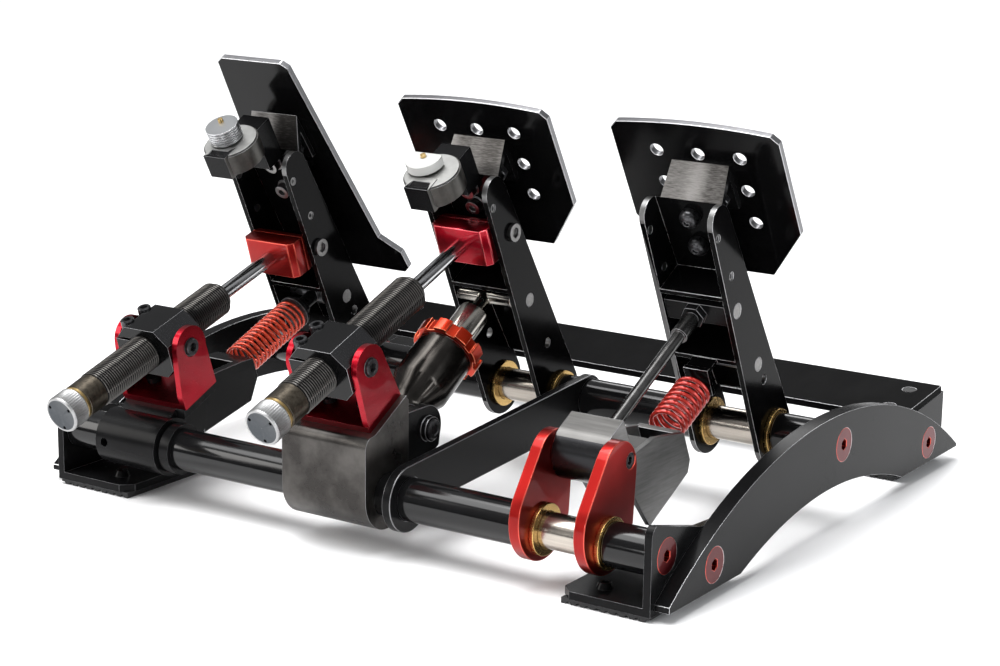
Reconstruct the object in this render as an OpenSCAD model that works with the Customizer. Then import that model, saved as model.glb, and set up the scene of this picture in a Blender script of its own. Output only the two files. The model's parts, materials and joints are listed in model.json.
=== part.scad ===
// Sim racing pedal set with throttle, brake and clutch, in millimetres.
// X runs to the driver's right, Y away from the driver, Z up from the floor.
// Side profiles are drawn as [y, z] points, with y measured from the front shaft.

/* [Overall] */
// Distance between neighbouring pedals
pedal_pitch = 133; // [120:1:145]
// Distance between the outer faces of the side arches
overall_w = 388; // [372:1:400]
// Distance from the front shaft back to the pedal axle
axle_back = 169; // [160:1:172]
// Height of the front shaft above the floor
shaft_h = 29.4; // [29:0.1:31]
// Height of the pedal axle above the floor
axle_h = 44.4; // [43:0.1:46]

/* [Shafts] */
// Diameter of the front shaft and of the pedal axle
shaft_d = 18; // [16:0.5:18]
// Outer diameter of the black sleeves
sleeve_d = 22; // [21:0.5:23]
// Play in length between a sleeve and a turning part
side_play = 0.3; // [0.2:0.05:0.5]
// Radial play of a pivot that turns
pivot_play = 0.05; // [0.03:0.01:0.08]

/* [Side arches] */
// Thickness of a side arch
arch_t = 8; // [7:0.5:9]
// Height of the arch's crown
arch_h = 62; // [60:0.5:64]
// Radius of the arch's upper edge
arch_top_r = 285; // [275:1:300]
// Radius of the arch's lower edge
arch_low_r = 260; // [250:1:275]
// Height of the lower edge at the crown
arch_low_h = 24; // [21:0.5:26]
// Distance from the front shaft back to the crown
arch_crown_back = 155.5; // [150:0.5:160]
// Reach of the arch behind the front shaft
arch_back = 320; // [315:1:330]
// Reach of the arch in front of the front shaft
arch_front = 10.5; // [8:0.5:13]
// Height of the front tip's underside
arch_front_h = 5.5; // [4:0.5:7]
// Height of the rear tip's underside
arch_rear_h = 8; // [7.5:0.5:9]

/* [Feet] */
// Thickness of the bent sheet of the feet
foot_t = 4; // [3:0.5:5]
// Width of a foot
foot_w = 50; // [44:1:56]
// Thickness of a rubber pad with its serrations
rubber_t = 3; // [2.5:0.5:4]
// Pitch of the serrations
tooth_pitch = 5; // [4:0.5:6]
// Depth of the serrations
tooth_depth = 1.2; // [0.8:0.1:1.5]
// Reach of a front foot in front of the front shaft
front_foot_front = 14.3; // [13:0.1:16]
// Reach of a front foot behind the front shaft
front_foot_back = 60; // [50:1:66]
// Distance from the front shaft back to a rear foot's front edge
rear_foot_start = 258; // [250:1:264]
// Distance from the front shaft back to a rear foot's rear edge
rear_foot_end = 316; // [305:1:319]
// Diameter of a foot bolt's head
foot_bolt_d = 9; // [8:0.5:10]

/* [Heel plate] */
// Thickness of the heel plate
heel_t = 4; // [3:0.5:5]
// Depth of the heel plate along its slope
heel_depth = 54; // [48:1:60]
// Distance from the front shaft back to its far edge
heel_back = 313; // [308:1:318]
// Height of its far upper edge
heel_h = 44; // [43:0.5:48]
// Fall of the heel plate towards the pedals, in degrees
heel_tilt = 6.8; // [4:0.2:9]

/* [Screws] */
// Head diameter of the red countersunk screws
red_head_d = 18; // [16:0.5:18]
// Shank diameter of the red countersunk screws
red_shank_d = 8; // [7:0.5:8]
// Distance from the front shaft back to the front arch screw
front_screw_back = 31.9; // [30:0.1:34]
// Height of the front arch screw
front_screw_h = 17.7; // [17:0.1:19]
// Distance from the front shaft back to the rear arch screw
rear_screw_back = 279.7; // [276:0.1:284]
// Height of the rear arch screw
rear_screw_h = 19.6; // [19:0.1:21]

/* [Pedal arms] */
// Outer width of a pedal arm
arm_w = 41.5; // [40:0.5:43]
// Sheet thickness of a pedal arm
arm_t = 3; // [2.5:0.5:3]
// Radius of the arm around the pedal axle
hub_r = 18; // [17:0.5:19]
// Radius of the arm's top
arm_top_r = 9; // [8:0.5:10]
// Distance from the pedal axle to the centre of the arm's top
arm_len = 139.5; // [135:0.5:145]
// Lean of the arm from upright, in degrees
arm_lean = 28.9; // [27:0.1:30]
// Flange diameter of the gold bushes
bush_flange_d = 26; // [25:0.5:27]
// Flange thickness of the gold bushes
bush_flange_t = 2.5; // [2:0.25:3]
// Diameter of the holes in the arm's sides
side_hole_d = 5.5; // [4:0.5:6]

/* [Pads] */
// Thickness of the pedal pads
pad_t = 3.5; // [3:0.5:4]
// Diameter of the holes in the brake and clutch pads
pad_hole_d = 7; // [6:0.5:8]
// Half width of the brake and clutch pads
pad_half_w = 47.5; // [45:0.5:50]
// Height of the brake and clutch pads along their face
pad_len = 90; // [86:1:94]
// Lean of the brake and clutch pads, in degrees
pad_lean = 30; // [29:0.5:31]
// Height of the top edge of the brake and clutch pads
pad_top_h = 210.5; // [208:0.5:212]
// Distance from the front shaft back to their top edge
pad_top_back = 105.5; // [104:0.5:107]
// Half width of the throttle pad at its top
throttle_top_half_w = 24.5; // [23:0.5:27]
// Half width of the throttle pad above its foot
throttle_low_half_w = 36.5; // [34:0.5:38]
// Half width of the throttle pad's foot
throttle_foot_half_w = 50; // [46:0.5:52]
// Height of the throttle pad along its face
throttle_pad_len = 150; // [145:1:154]
// Lean of the throttle pad, in degrees
throttle_pad_lean = 33; // [32:0.5:33.5]
// Height of the throttle pad's top edge
throttle_pad_h = 225; // [222:0.5:227]
// Distance from the front shaft back to the throttle pad's top edge
throttle_pad_back = 88; // [87:0.5:90]

/* [Dampers] */
// Outer diameter of a damper tube, M20
damper_d = 20; // [19:0.5:21]
// Length of a damper from knob face to rod gland
damper_len = 131; // [125:1:135]
// Diameter of the hole that the rod runs in
damper_bore = 10.4; // [10.2:0.1:11]
// Diameter of a damper rod
rod_d = 8; // [7:0.5:8]
// Distance from the rod's pivot to the gland at rest
rod_out = 65.5; // [64:0.5:68]
// Length of the knurled knob
knob_len = 11; // [10:1:16]
// Length of the graduated collar behind the knob
collar_len = 15; // [12:1:18]
// Slope of the brake damper, in degrees
brake_slope = 20.57; // [20:0.05:21]
// Slope of the throttle damper, in degrees
throttle_slope = 17.75; // [17.5:0.05:18.5]
// Distance along the brake damper from the rod pivot to the trunnion
brake_trunnion = 135.1; // [133:0.1:137]
// Distance along the throttle damper from the rod pivot to the trunnion
throttle_trunnion = 117.1; // [115:0.1:119]
// Half length of a damper clamp
clamp_half = 13; // [11:0.5:14]
// Diameter of a trunnion pin
trunnion_d = 6; // [5:0.5:6]
// Outer width of a damper fork
fork_w = 44; // [43:0.5:45]
// Plate thickness of a damper fork
fork_t = 3.5; // [3:0.5:4]
// Distance from a trunnion down to the underside of its fork
fork_drop = 29; // [28:0.5:30]
// Slope of the brake fork's base, in degrees
brake_fork_slope = 30; // [28:1:31]
// Slope of the throttle fork's base, in degrees
throttle_fork_slope = 23.5; // [22:0.5:25]

/* [Rod pivots] */
// Distance from the front shaft back to the brake rod pivot
brake_pivot_back = 117.5; // [117:0.1:118]
// Height of the brake rod pivot
brake_pivot_h = 143.5; // [143:0.1:144]
// Distance from the front shaft back to the throttle and clutch rod pivots
low_pivot_back = 122; // [121.5:0.1:122.5]
// Height of the throttle and clutch rod pivots
low_pivot_h = 118.4; // [118:0.1:119]
// Diameter of the pivot pins through the arms
pivot_pin_d = 5; // [4.5:0.25:5]
// Height of a rod block
rod_block_h = 21; // [19:0.5:22]

/* [Brake cup] */
// Distance from the front shaft back to the cup's pivot
cup_back = 41; // [40.5:0.1:41.5]
// Height of the cup's pivot
cup_h = 53.4; // [53:0.1:54]
// Slope of the cup's axis, in degrees
cup_slope = 31.6; // [31.4:0.05:31.8]
// Outer diameter of the cup
cup_d = 32; // [31:0.5:33]
// Diameter of the hole in the cup for the plunger
cup_bore = 18; // [17.9:0.1:19]
// Diameter of the plunger
plunger_d = 17; // [16:0.5:17]
// Distance from the cup's pivot to the plunger's pivot at rest
plunger_reach = 99; // [98.5:0.1:99.5]
// Outer diameter of the red adjuster ring
ring_d = 38; // [37:0.5:39]
// Width of the red adjuster ring
ring_w = 8; // [7:0.5:9]

/* [Clutch linkage] */
// Plate thickness of the red links
link_t = 6; // [5:0.5:6.5]
// Distance from the front shaft back to the coupler's pivot
coupler_back = 19.5; // [19:0.1:20]
// Height of the coupler's pivot
coupler_h = 64.8; // [64.5:0.1:65.2]
// Half height of the coupler block
coupler_r = 14.4; // [13.5:0.1:14.5]
// Diameter of the push rod
push_rod_d = 6.5; // [6:0.5:7.5]
// Diameter of the pins between the links and the coupler
link_pin_d = 6; // [5:0.5:6]
// Room around a link pin in the coupler
link_pin_room = 1.8; // [1.6:0.1:2]

/* [Springs] */
// Outer diameter of the springs
spring_d = 19.5; // [18.5:0.5:20]
// Wire diameter of the throttle spring
throttle_wire = 1.7; // [1.5:0.1:2.3]
// Length of the throttle spring
throttle_spring_len = 54; // [52:0.5:56]
// Curls of the throttle spring
throttle_curls = 14; // [11:1:14]
// Wire diameter of the clutch spring
clutch_wire = 2.3; // [2.1:0.1:2.4]
// Length of the clutch spring
clutch_spring_len = 41; // [39:0.5:42]
// Curls of the clutch spring
clutch_curls = 9; // [8:1:10]

/* [Vibration motors] */
// Diameter of a motor can
motor_d = 31; // [28:0.5:32]
// Length of a motor can
motor_len = 13; // [11:0.5:15]
// Distance of a motor's axis in front of the arm's centre line
motor_front = 19; // [18:0.5:20]
// Diameter of an eccentric weight
weight_d = 20.5; // [18:0.5:21]
// Distance of the throttle's weight from its shaft
weight_offset = 3.7; // [3:0.1:4]
// Thickness of the brake's weight
weight_t = 5; // [4:0.5:6]

/* [Hidden] */

// Fineness of round surfaces
$fn = 40;
// Small overlap that lets one cut run past a face
cut = 1;
// Running gap between flat faces that turn past each other
face_gap = 0.4;

// Places across the width
throttle_x = pedal_pitch;
brake_x = 0;
clutch_x = -pedal_pitch;
arch_in = overall_w / 2 - arch_t;
wall_in = arch_in - foot_t;

// Points of the side view
shaft = [0, shaft_h];
axle = [-axle_back, axle_h];
arm_dir = [sin(arm_lean), cos(arm_lean)];
arm_front = [cos(arm_lean), -sin(arm_lean)];
brake_pivot = [-brake_pivot_back, brake_pivot_h];
low_pivot = [-low_pivot_back, low_pivot_h];
cup_pivot = [-cup_back, cup_h];
coupler_pivot = [-coupler_back, coupler_h];
plunger_pivot = cup_pivot + plunger_reach * uphill(cup_slope);
brake_trunnion_at = brake_pivot - brake_trunnion * uphill(brake_slope);
throttle_trunnion_at = low_pivot - throttle_trunnion * uphill(throttle_slope);
push_vec = low_pivot - coupler_pivot;
push_len = norm(push_vec);
push_slope = atan2(push_vec[1], -push_vec[0]);

// Arm profile worked out from its two circles
arm_taper = asin((hub_r - arm_top_r) / arm_len);
flange_in = arm_w / 2 - arm_t;
sleeve_end = arm_w / 2 + bush_flange_t + side_play;

// The front of the whole set is the lower rim of the brake damper's knob
knob_face = brake_pivot - (rod_out + damper_len) * uphill(brake_slope);
front_y = knob_face[0] + damper_d / 2 * sin(brake_slope);
set_y = (arch_back - front_y) / 2;

// Links of the clutch
link_in = 15;
link_out = link_in + link_t;

// Direction of a line that climbs towards the driver
function uphill(slope) = [-cos(slope), sin(slope)];
// Direction square to such a line, pointing up
function upward(slope) = [sin(slope), cos(slope)];
// Point of an arm at a distance along and in front of its centre line
function on_arm(along, ahead) = axle + along * arm_dir + ahead * arm_front;
// Point at a distance and height from an origin on a climbing line
function on_slope(origin, slope, along, up) = origin + along * uphill(slope) + up * upward(slope);
// Points of an arc
function arc(centre, r, from, to, steps) =
    [for (i = [0:steps]) let (a = from + (to - from) * i / steps) centre + r * [cos(a), sin(a)]];

// Carries the side view into place under the set's origin
module set() { translate([0, set_y, 0]) children(); }

// A side profile made solid between two places across the width
module across(x0, x1) { translate([x0, 0, 0]) rotate([90, 0, 90]) linear_extrude(x1 - x0) children(); }

// A cylinder across the width
module bar(at, d, x0, x1) { translate([x0, at[0], at[1]]) rotate([0, 90, 0]) cylinder(d = d, h = x1 - x0); }

// Turns local Z up a slope towards the driver, with local Y square to it
module along(at, slope) { translate([0, at[0], at[1]]) rotate([90 - slope, 0, 0]) children(); }

// Two circles and the straight sides that touch both
module taper_plate(p1, r1, p2, r2) {
    a = atan2(p2[1] - p1[1], p2[0] - p1[0]);
    b = acos((r1 - r2) / norm(p2 - p1));
    translate(p1) circle(r1);
    translate(p2) circle(r2);
    polygon([
        p1 + r1 * [cos(a + b), sin(a + b)], p2 + r2 * [cos(a + b), sin(a + b)],
        p2 + r2 * [cos(a - b), sin(a - b)], p1 + r1 * [cos(a - b), sin(a - b)]
    ]);
}

// A countersunk screw along local -Z with its head's face at z = 0
module countersunk(length) {
    head_h = (red_head_d - red_shank_d) / 2 * 0.66;
    difference() {
        union() {
            cylinder(d = red_head_d, h = 0.6);
            translate([0, 0, -head_h]) cylinder(d1 = red_shank_d, d2 = red_head_d, h = head_h);
            translate([0, 0, -length]) cylinder(d = red_shank_d, h = length);
        }
        translate([0, 0, -2.6]) cylinder(d = 6.2, h = 4, $fn = 6);
    }
}

// The hole that such a screw fits in
module countersink(length) {
    head_h = (red_head_d - red_shank_d) / 2 * 0.66;
    cylinder(d = red_head_d, h = 0.6 + cut);
    translate([0, 0, -head_h]) cylinder(d1 = red_shank_d, d2 = red_head_d, h = head_h);
    translate([0, 0, -length]) cylinder(d = red_shank_d, h = length);
}

// Puts a screw's parts on the outer face at x, pointing inwards
module outward(x, at) {
    translate([x, at[0], at[1]]) rotate([0, x > 0 ? 90 : -90, 0]) translate([0, 0, -0.6]) children();
}

// Side arches
module arch_profile() {
    crown = [-arch_crown_back, 0];
    difference() {
        intersection() {
            translate(crown + [0, arch_h - arch_top_r]) circle(arch_top_r, $fn = 180);
            translate([-arch_back, arch_front_h]) square([arch_back + arch_front, arch_h]);
        }
        translate(crown + [0, arch_low_h - arch_low_r]) circle(arch_low_r, $fn = 180);
        translate([-arch_back - cut, 0]) square([arch_back - arch_crown_back, arch_rear_h]);
    }
}

module side_arch(side) {
    x = side * arch_in;
    color("dimgray") set() difference() {
        across(min(x, x + side * arch_t), max(x, x + side * arch_t)) arch_profile();
        outward(side * overall_w / 2, [-front_screw_back, front_screw_h]) countersink(arch_t + cut);
        outward(side * overall_w / 2, axle) countersink(arch_t + cut);
        outward(side * overall_w / 2, [-rear_screw_back, rear_screw_h]) countersink(arch_t + cut);
    }
}

module side_arch_left() { side_arch(-1); }
module side_arch_right() { side_arch(1); }

// Red countersunk screws
module red_screws() {
    color("firebrick") set() for (side = [-1, 1]) {
        outward(side * arch_in, shaft) countersunk(15);
        outward(side * overall_w / 2, axle) countersunk(20);
        outward(side * overall_w / 2, [-front_screw_back, front_screw_h]) countersunk(arch_t + foot_t - 0.6);
        outward(side * overall_w / 2, [-rear_screw_back, rear_screw_h]) countersunk(arch_t + foot_t - 0.6);
    }
}

// Feet bent from sheet
module front_foot(side) {
    base_top = rubber_t + foot_t;
    wall_top = shaft_h + 18;
    color("black") set() mirror([side < 0 ? 1 : 0, 0, 0]) difference() {
        union() {
            across(wall_in, arch_in) polygon(concat(
                [[-front_foot_back, rubber_t + foot_t], [front_foot_front, base_top]],
                arc([front_foot_front - 6, wall_top - 6.5], 6, 0, 70, 5),
                [[-31, wall_top - 12], [-front_foot_back, wall_top - 14]]
            ));
            translate([0, 0, rubber_t]) linear_extrude(foot_t) polygon([
                [arch_in, front_foot_front], [arch_in - foot_w + 6, front_foot_front],
                [arch_in - foot_w, front_foot_front - 6], [arch_in - foot_w, -front_foot_back],
                [arch_in, -front_foot_back]
            ]);
        }
        outward(arch_in, shaft) countersink(foot_t + cut);
        bar([-front_screw_back, front_screw_h], red_shank_d, wall_in - cut, arch_in + cut);
        foot_bolt_hole(rubber_t);
    }
}

module foot_bolt_hole(z) {
    translate([arch_in - foot_w / 2 - 8, 0, z - cut]) cylinder(d = foot_bolt_d / 2, h = foot_t + 2 * cut);
}

module front_foot_left() { front_foot(-1); }
module front_foot_right() { front_foot(1); }

module heel_slope() { along([-heel_back, heel_h], heel_tilt) children(); }

module rear_feet() {
    color("black") set() for (side = [-1, 1]) mirror([side < 0 ? 1 : 0, 0, 0]) difference() {
        union() {
            across(wall_in, arch_in) polygon([
                [-rear_foot_end, rubber_t], [-rear_foot_start, rubber_t],
                heel_under(rear_foot_start), heel_under(rear_foot_end)
            ]);
            across(arch_in - 22, arch_in) polygon([
                heel_under(rear_foot_start), heel_under(rear_foot_end),
                heel_under(rear_foot_end) - [0, foot_t], heel_under(rear_foot_start) - [0, foot_t]
            ]);
            translate([arch_in - foot_w, -rear_foot_end, rubber_t])
                cube([foot_w, rear_foot_end - rear_foot_start, foot_t]);
        }
        bar([-rear_screw_back, rear_screw_h], red_shank_d, wall_in - cut, arch_in + cut);
        heel_bolts() translate([0, 0, -20]) cylinder(d = 4, h = 20);
    }
}

// Point under the heel plate at a distance behind the front shaft
function heel_under(back) =
    [-back, heel_h - heel_t / cos(heel_tilt) - (heel_back - back) * tan(heel_tilt)];

// Serrated strip of rubber, drawn from its front
module serration(width) {
    teeth = floor(width / tooth_pitch);
    step = width / teeth;
    polygon(concat(
        [[0, rubber_t]],
        [for (i = [0:teeth - 1]) each [
            [i * step, 0], [(i + 0.5) * step, 0],
            [(i + 0.6) * step, tooth_depth], [(i + 0.9) * step, tooth_depth]
        ]],
        [[width, tooth_depth], [width, rubber_t]]
    ));
}

module foot_pads() {
    pad_w = foot_w - 2;
    color("darkslategray") set() for (side = [-1, 1]) mirror([side < 0 ? 1 : 0, 0, 0]) {
        translate([arch_in - foot_w + 1, front_foot_front - 1, 0]) rotate([90, 0, 0])
            linear_extrude(front_foot_front + front_foot_back - 2) serration(pad_w);
        translate([arch_in - foot_w + 1, -rear_foot_start - 1, 0]) rotate([90, 0, 0])
            linear_extrude(rear_foot_end - rear_foot_start - 2) serration(pad_w);
    }
}

// Heel plate
module heel_bolts() {
    for (x = [-1, 1], at = [0.25, 0.75])
        heel_slope() translate([x * (arch_in - 14), 0, -heel_depth * at]) rotate([-90, 0, 0]) children();
}

module heel_plate() {
    color("black") set() difference() {
        heel_slope() translate([-arch_in + side_play, -heel_t, -heel_depth])
            cube([2 * (arch_in - side_play), heel_t, heel_depth]);
        heel_bolts() {
            translate([0, 0, -2]) cylinder(d1 = 4, d2 = 8, h = 2 + 0.01);
            translate([0, 0, -heel_t - cut]) cylinder(d = 4, h = heel_t + cut);
        }
    }
}

// Black bolts of the frame
module base_bolts() {
    color("dimgray") set() {
        heel_bolts() {
            translate([0, 0, -2]) cylinder(d1 = 3.9, d2 = 7.9, h = 2);
            translate([0, 0, -heel_t - foot_t]) cylinder(d = 3.9, h = heel_t + foot_t);
        }
        for (side = [-1, 1]) translate([side * (arch_in - foot_w / 2 - 8), 0, rubber_t]) {
            cylinder(d = foot_bolt_d / 2, h = foot_t);
            translate([0, 0, foot_t]) difference() {
                cylinder(d1 = foot_bolt_d, d2 = foot_bolt_d - 3, h = 3);
                translate([0, 0, 1.4]) cylinder(d = 4, h = 3, $fn = 6);
            }
        }
        fork_bolts(brake_trunnion_at, brake_fork_slope, brake_x);
        fork_bolts(throttle_trunnion_at, throttle_fork_slope, throttle_x);
    }
}

// Shafts
module front_shaft() {
    color("silver") set() difference() {
        bar(shaft, shaft_d, -wall_in, wall_in);
        for (side = [-1, 1]) outward(side * arch_in, shaft) cylinder(d = red_shank_d, h = 36, center = true);
    }
}

module pedal_axle() {
    color("silver") set() difference() {
        bar(axle, shaft_d, -arch_in, arch_in);
        for (side = [-1, 1])
            outward(side * overall_w / 2, axle) cylinder(d = red_shank_d, h = 46, center = true);
    }
}

module sleeve(at, x0, x1) {
    difference() {
        bar(at, sleeve_d, x0, x1);
        bar(at, shaft_d, x0 - cut, x1 + cut);
    }
}

module front_sleeves() {
    color("black") set() {
        sleeve(shaft, -wall_in, clutch_x - link_out - bush_flange_t - side_play);
        sleeve(shaft, clutch_x + link_out + side_play, wall_in);
    }
}

module axle_sleeves() {
    color("black") set() {
        sleeve(axle, -arch_in, clutch_x - sleeve_end);
        sleeve(axle, clutch_x + arm_w / 2 + side_play, brake_x - sleeve_end);
        sleeve(axle, brake_x + arm_w / 2 + side_play, throttle_x - sleeve_end);
        sleeve(axle, throttle_x + arm_w / 2 + side_play, arch_in);
    }
}

// Brace bar beside the brake pedal
brace_x = -39.5;
brace_t = 5;
brace_shaft_r = 17;
brace_axle_r = 13;

module brace_bar() {
    color("black") set() difference() {
        across(brace_x, brace_x + brace_t) {
            translate(shaft) circle(brace_shaft_r);
            translate(axle) circle(brace_axle_r);
            polygon([
                shaft + [0, brace_shaft_r], axle + [0, brace_axle_r],
                axle - [0, brace_axle_r], shaft + [-15, -6.5]
            ]);
        }
        bar(shaft, sleeve_d, brace_x - cut, brace_x + brace_t + cut);
        bar(axle, sleeve_d, brace_x - cut, brace_x + brace_t + cut);
    }
}

// Mounts on the front shaft
block_r = 18;
block_left = -25.5;
block_right = 27;

// Point on the plane under a fork, at a distance uphill of its trunnion
function fork_foot(trunnion, slope, uphill_by) = on_slope(trunnion, slope, uphill_by, -fork_drop);

module brake_mount_block() {
    color("dimgray") set() difference() {
        across(block_left, block_right) {
            translate(shaft) circle(block_r);
            polygon(concat(
                [shaft + [-block_r, 0], shaft + [block_r, 0]],
                arc([block_r - 7, fork_foot(brake_trunnion_at, brake_fork_slope, -17)[1] - 7], 7, 0, 60, 5),
                [
                    fork_foot(brake_trunnion_at, brake_fork_slope, -17),
                    fork_foot(brake_trunnion_at, brake_fork_slope, 12),
                    [-block_r, fork_foot(brake_trunnion_at, brake_fork_slope, 12)[1] - 3]
                ]
            ));
        }
        bar(shaft, sleeve_d, block_left - cut, block_right + cut);
        fork_bolts(brake_trunnion_at, brake_fork_slope, brake_x);
    }
}

// Two ribs that carry the brake cup's pivot, with its screw
clevis_in = 15;
clevis_out = 21;
clevis_r = 12;

module brake_clevis() {
    color("black") set() {
        for (side = [-1, 1])
            across(side > 0 ? clevis_in : -clevis_out, side > 0 ? clevis_out : -clevis_in) difference() {
                union() {
                    translate(cup_pivot) circle(clevis_r);
                    polygon([
                        [-block_r, cup_h + clevis_r], cup_pivot + [0, clevis_r],
                        cup_pivot + [-clevis_r, 0], cup_pivot + [-clevis_r + 2, -11],
                        [-block_r, shaft_h - 5]
                    ]);
                }
                translate([-block_r, 0]) square([block_r, 100]);
            }
        bar(cup_pivot, 8, -clevis_out - 2.5, clevis_out + 2.5);
        for (x = [-clevis_out - 3, clevis_out]) bar(cup_pivot, 13, x, x + 3);
    }
}

// Fork that carries a damper's trunnions
fork_in = fork_w / 2 - fork_t;

module fork_profile(trunnion, slope, front, back) {
    head_r = 11.5;
    f = fork_foot(trunnion, slope, -front);
    b = fork_foot(trunnion, slope, back);
    translate(trunnion) circle(head_r);
    polygon([
        f, f + [3, 8], trunnion + head_r * [cos(-8), sin(-8)],
        trunnion + head_r * [cos(140), sin(140)], b + 1.5 * upward(slope), b
    ]);
}

module fork(trunnion, slope, front, back, x) {
    color("crimson") set() translate([x, 0, 0]) difference() {
        union() {
            for (x0 = [-fork_w / 2, fork_in])
                across(x0, x0 + fork_t) fork_profile(trunnion, slope, front, back);
            across(-fork_w / 2, fork_w / 2) polygon([
                fork_foot(trunnion, slope, -front), fork_foot(trunnion, slope, back),
                fork_foot(trunnion, slope, back) + fork_t * upward(slope),
                fork_foot(trunnion, slope, -front) + fork_t * upward(slope)
            ]);
        }
        bar(trunnion, trunnion_d + 2 * pivot_play, -fork_w, fork_w);
        for (x0 = [-fork_w / 2 - cut, fork_w / 2 - 2]) bar(trunnion, 10.6, x0, x0 + 2 + cut);
        fork_bolts(trunnion, slope, 0);
    }
}

module brake_fork() { fork(brake_trunnion_at, brake_fork_slope, 17, 12, brake_x); }
module throttle_fork() { fork(throttle_trunnion_at, throttle_fork_slope, 18, 9, throttle_x); }

// Bolts that hold a fork down
module fork_bolts(trunnion, slope, x) {
    for (side = [-1, 1]) translate([x + side * 11, 0, 0])
        along(fork_foot(trunnion, slope, -3), slope) rotate([-90, 0, 0]) {
            translate([0, 0, -10]) cylinder(d = 5, h = 10 + fork_t);
            translate([0, 0, fork_t]) cylinder(d = 8, h = 3);
        }
}

// Throttle damper mount with its collar
module throttle_mount() {
    base_f = fork_foot(throttle_trunnion_at, throttle_fork_slope, -18);
    base_b = fork_foot(throttle_trunnion_at, throttle_fork_slope, 9);
    color("black") set() difference() {
        union() {
            bar(shaft, 31, throttle_x - 17, throttle_x + 24);
            bar(shaft, 27, throttle_x - 25, throttle_x - 19);
            across(throttle_x - 15, throttle_x + 20) polygon([
                shaft + [12, 6], base_f, base_b, [base_b[0], shaft_h + 4], shaft + [-12, -6]
            ]);
            across(throttle_x - 21, throttle_x + 21) polygon([
                base_f - [0, 5], base_f, base_b, base_b - [0, 5]
            ]);
        }
        bar(shaft, sleeve_d, throttle_x - 40, throttle_x + 40);
        fork_bolts(throttle_trunnion_at, throttle_fork_slope, throttle_x);
        translate([throttle_x + 18, shaft[0], shaft[1]]) rotate([-90, 0, 0]) cylinder(d = 5, h = 20);
    }
}

// Where the springs sit
throttle_seat = [-74, 57.2];
throttle_spring_slope = 21.6;
clutch_seat = [-84.8, 60];
clutch_spring_slope = 25.6;

module throttle_spring_block() {
    high = on_slope(throttle_seat, throttle_spring_slope, 0, 6);
    low = on_slope(throttle_seat, throttle_spring_slope, 0, -6);
    back = fork_foot(throttle_trunnion_at, throttle_fork_slope, 9);
    color("black") set() difference() {
        across(throttle_x - 13, throttle_x + 13) polygon([
            [back[0], back[1] - 5], [back[0] - 6, back[1] + 1], [high[0] + 10, high[1]], high, low,
            low + [6, -13], [back[0], shaft_h]
        ]);
        across(throttle_x - 8, throttle_x + 8) polygon([
            [back[0] - 9, back[1] + 8], [high[0] + 12, high[1] + 8],
            [high[0] + 12, shaft_h + 14], [back[0] - 9, shaft_h + 10]
        ]);
    }
}

// Pedal arms
module arm_profile() {
    a = atan2(arm_dir[1], arm_dir[0]);
    b = acos((hub_r - arm_top_r) / arm_len);
    polygon(concat(
        arc(axle, hub_r, a + b, a - b + 360, 32),
        arc(on_arm(arm_len, 0), arm_top_r, a - b, a + b, 18)
    ));
}

// The arm's straight back, from its lower end up
back_angle = atan2(arm_dir[1], arm_dir[0]) + 90 - arm_taper;
back_normal = [cos(back_angle), sin(back_angle)];
function web_at(s) = axle + hub_r * back_normal + s * [back_normal[1], -back_normal[0]];

// Distance from the centre line to the arm's straight edges
function half_depth(s) = (hub_r - s * sin(arm_taper)) / cos(arm_taper);

// The hollow of the channel, between two distances along the arm
web_start = 14;
shelf_t = 2.5;

module hollow(s0, s1) {
    polygon([
        on_arm(s0, arm_t - half_depth(s0)), on_arm(s1, arm_t - half_depth(s1)),
        on_arm(s1, 60), on_arm(s0, 60)
    ]);
}

module arm(x, holes, shelves, screws) {
    levels = concat([web_start - shelf_t], shelves, [arm_len + 30]);
    set() translate([x, 0, 0]) difference() {
        union() {
            difference() {
                across(-arm_w / 2, arm_w / 2) arm_profile();
                across(-flange_in, flange_in) {
                    polygon([
                        on_arm(-60, -60), on_arm(web_start, -60), on_arm(web_start, 60), on_arm(-60, 60)
                    ]);
                    for (i = [0:len(levels) - 2]) hollow(levels[i] + shelf_t, levels[i + 1]);
                }
            }
            children();
        }
        bar(axle, sleeve_d, -arm_w, arm_w);
        for (h = holes) bar(h, side_hole_d, -arm_w, arm_w);
        web_screw_holes(0, screws);
    }
}

// Places in the sides: two small screws above, a cross pin and an open hole below
high_screws = [on_arm(arm_len - 5.3, 6), on_arm(108, 2.8)];
low_pin = on_arm(46.6, -0.9);
brake_low_pin = on_arm(68, 0.7);
low_hole = on_arm(35, -2.4);
low_pin_d = 7.5;

plunger_pin_half = flange_in + 1.5;
clutch_pin_d = 8;
side_screw_d = 4.5;

module arm_pin_holes(x, screws, pins) {
    for (at = screws) bar(at, side_screw_d, x - arm_w, x + arm_w);
    for (at = pins) bar(at, low_pin_d, x - arm_w, x + arm_w);
}

// Small screws in the arm's sides and pins from side to side
module arm_pins(x, screws, pins) {
    for (at = screws, side = [0, 1]) translate([x, 0, 0]) mirror([side, 0, 0]) difference() {
        bar(at, side_screw_d, flange_in, arm_w / 2 - 0.4);
        bar(at, 2.3, arm_w / 2 - 1.6, arm_w / 2);
    }
    for (at = pins) bar(at, low_pin_d, x - arm_w / 2, x + arm_w / 2);
}

module throttle_arm() {
    color("black") difference() {
        arm(throttle_x, [low_hole], [61], web_screws);
        set() arm_pin_holes(throttle_x, high_screws, [low_pin]);
        set() bar(low_pivot, pivot_pin_d, throttle_x - arm_w, throttle_x + arm_w);
    }
}

module brake_arm() {
    color("black") difference() {
        arm(brake_x, [low_hole], [81.5], brake_web_screws);
        set() arm_pin_holes(brake_x, [high_screws[0]], [brake_low_pin]);
        set() bar(brake_pivot, pivot_pin_d, brake_x - arm_w, brake_x + arm_w);
        set() bar(plunger_pivot, pivot_pin_d, brake_x - plunger_pin_half, brake_x + plunger_pin_half);
    }
}

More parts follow.
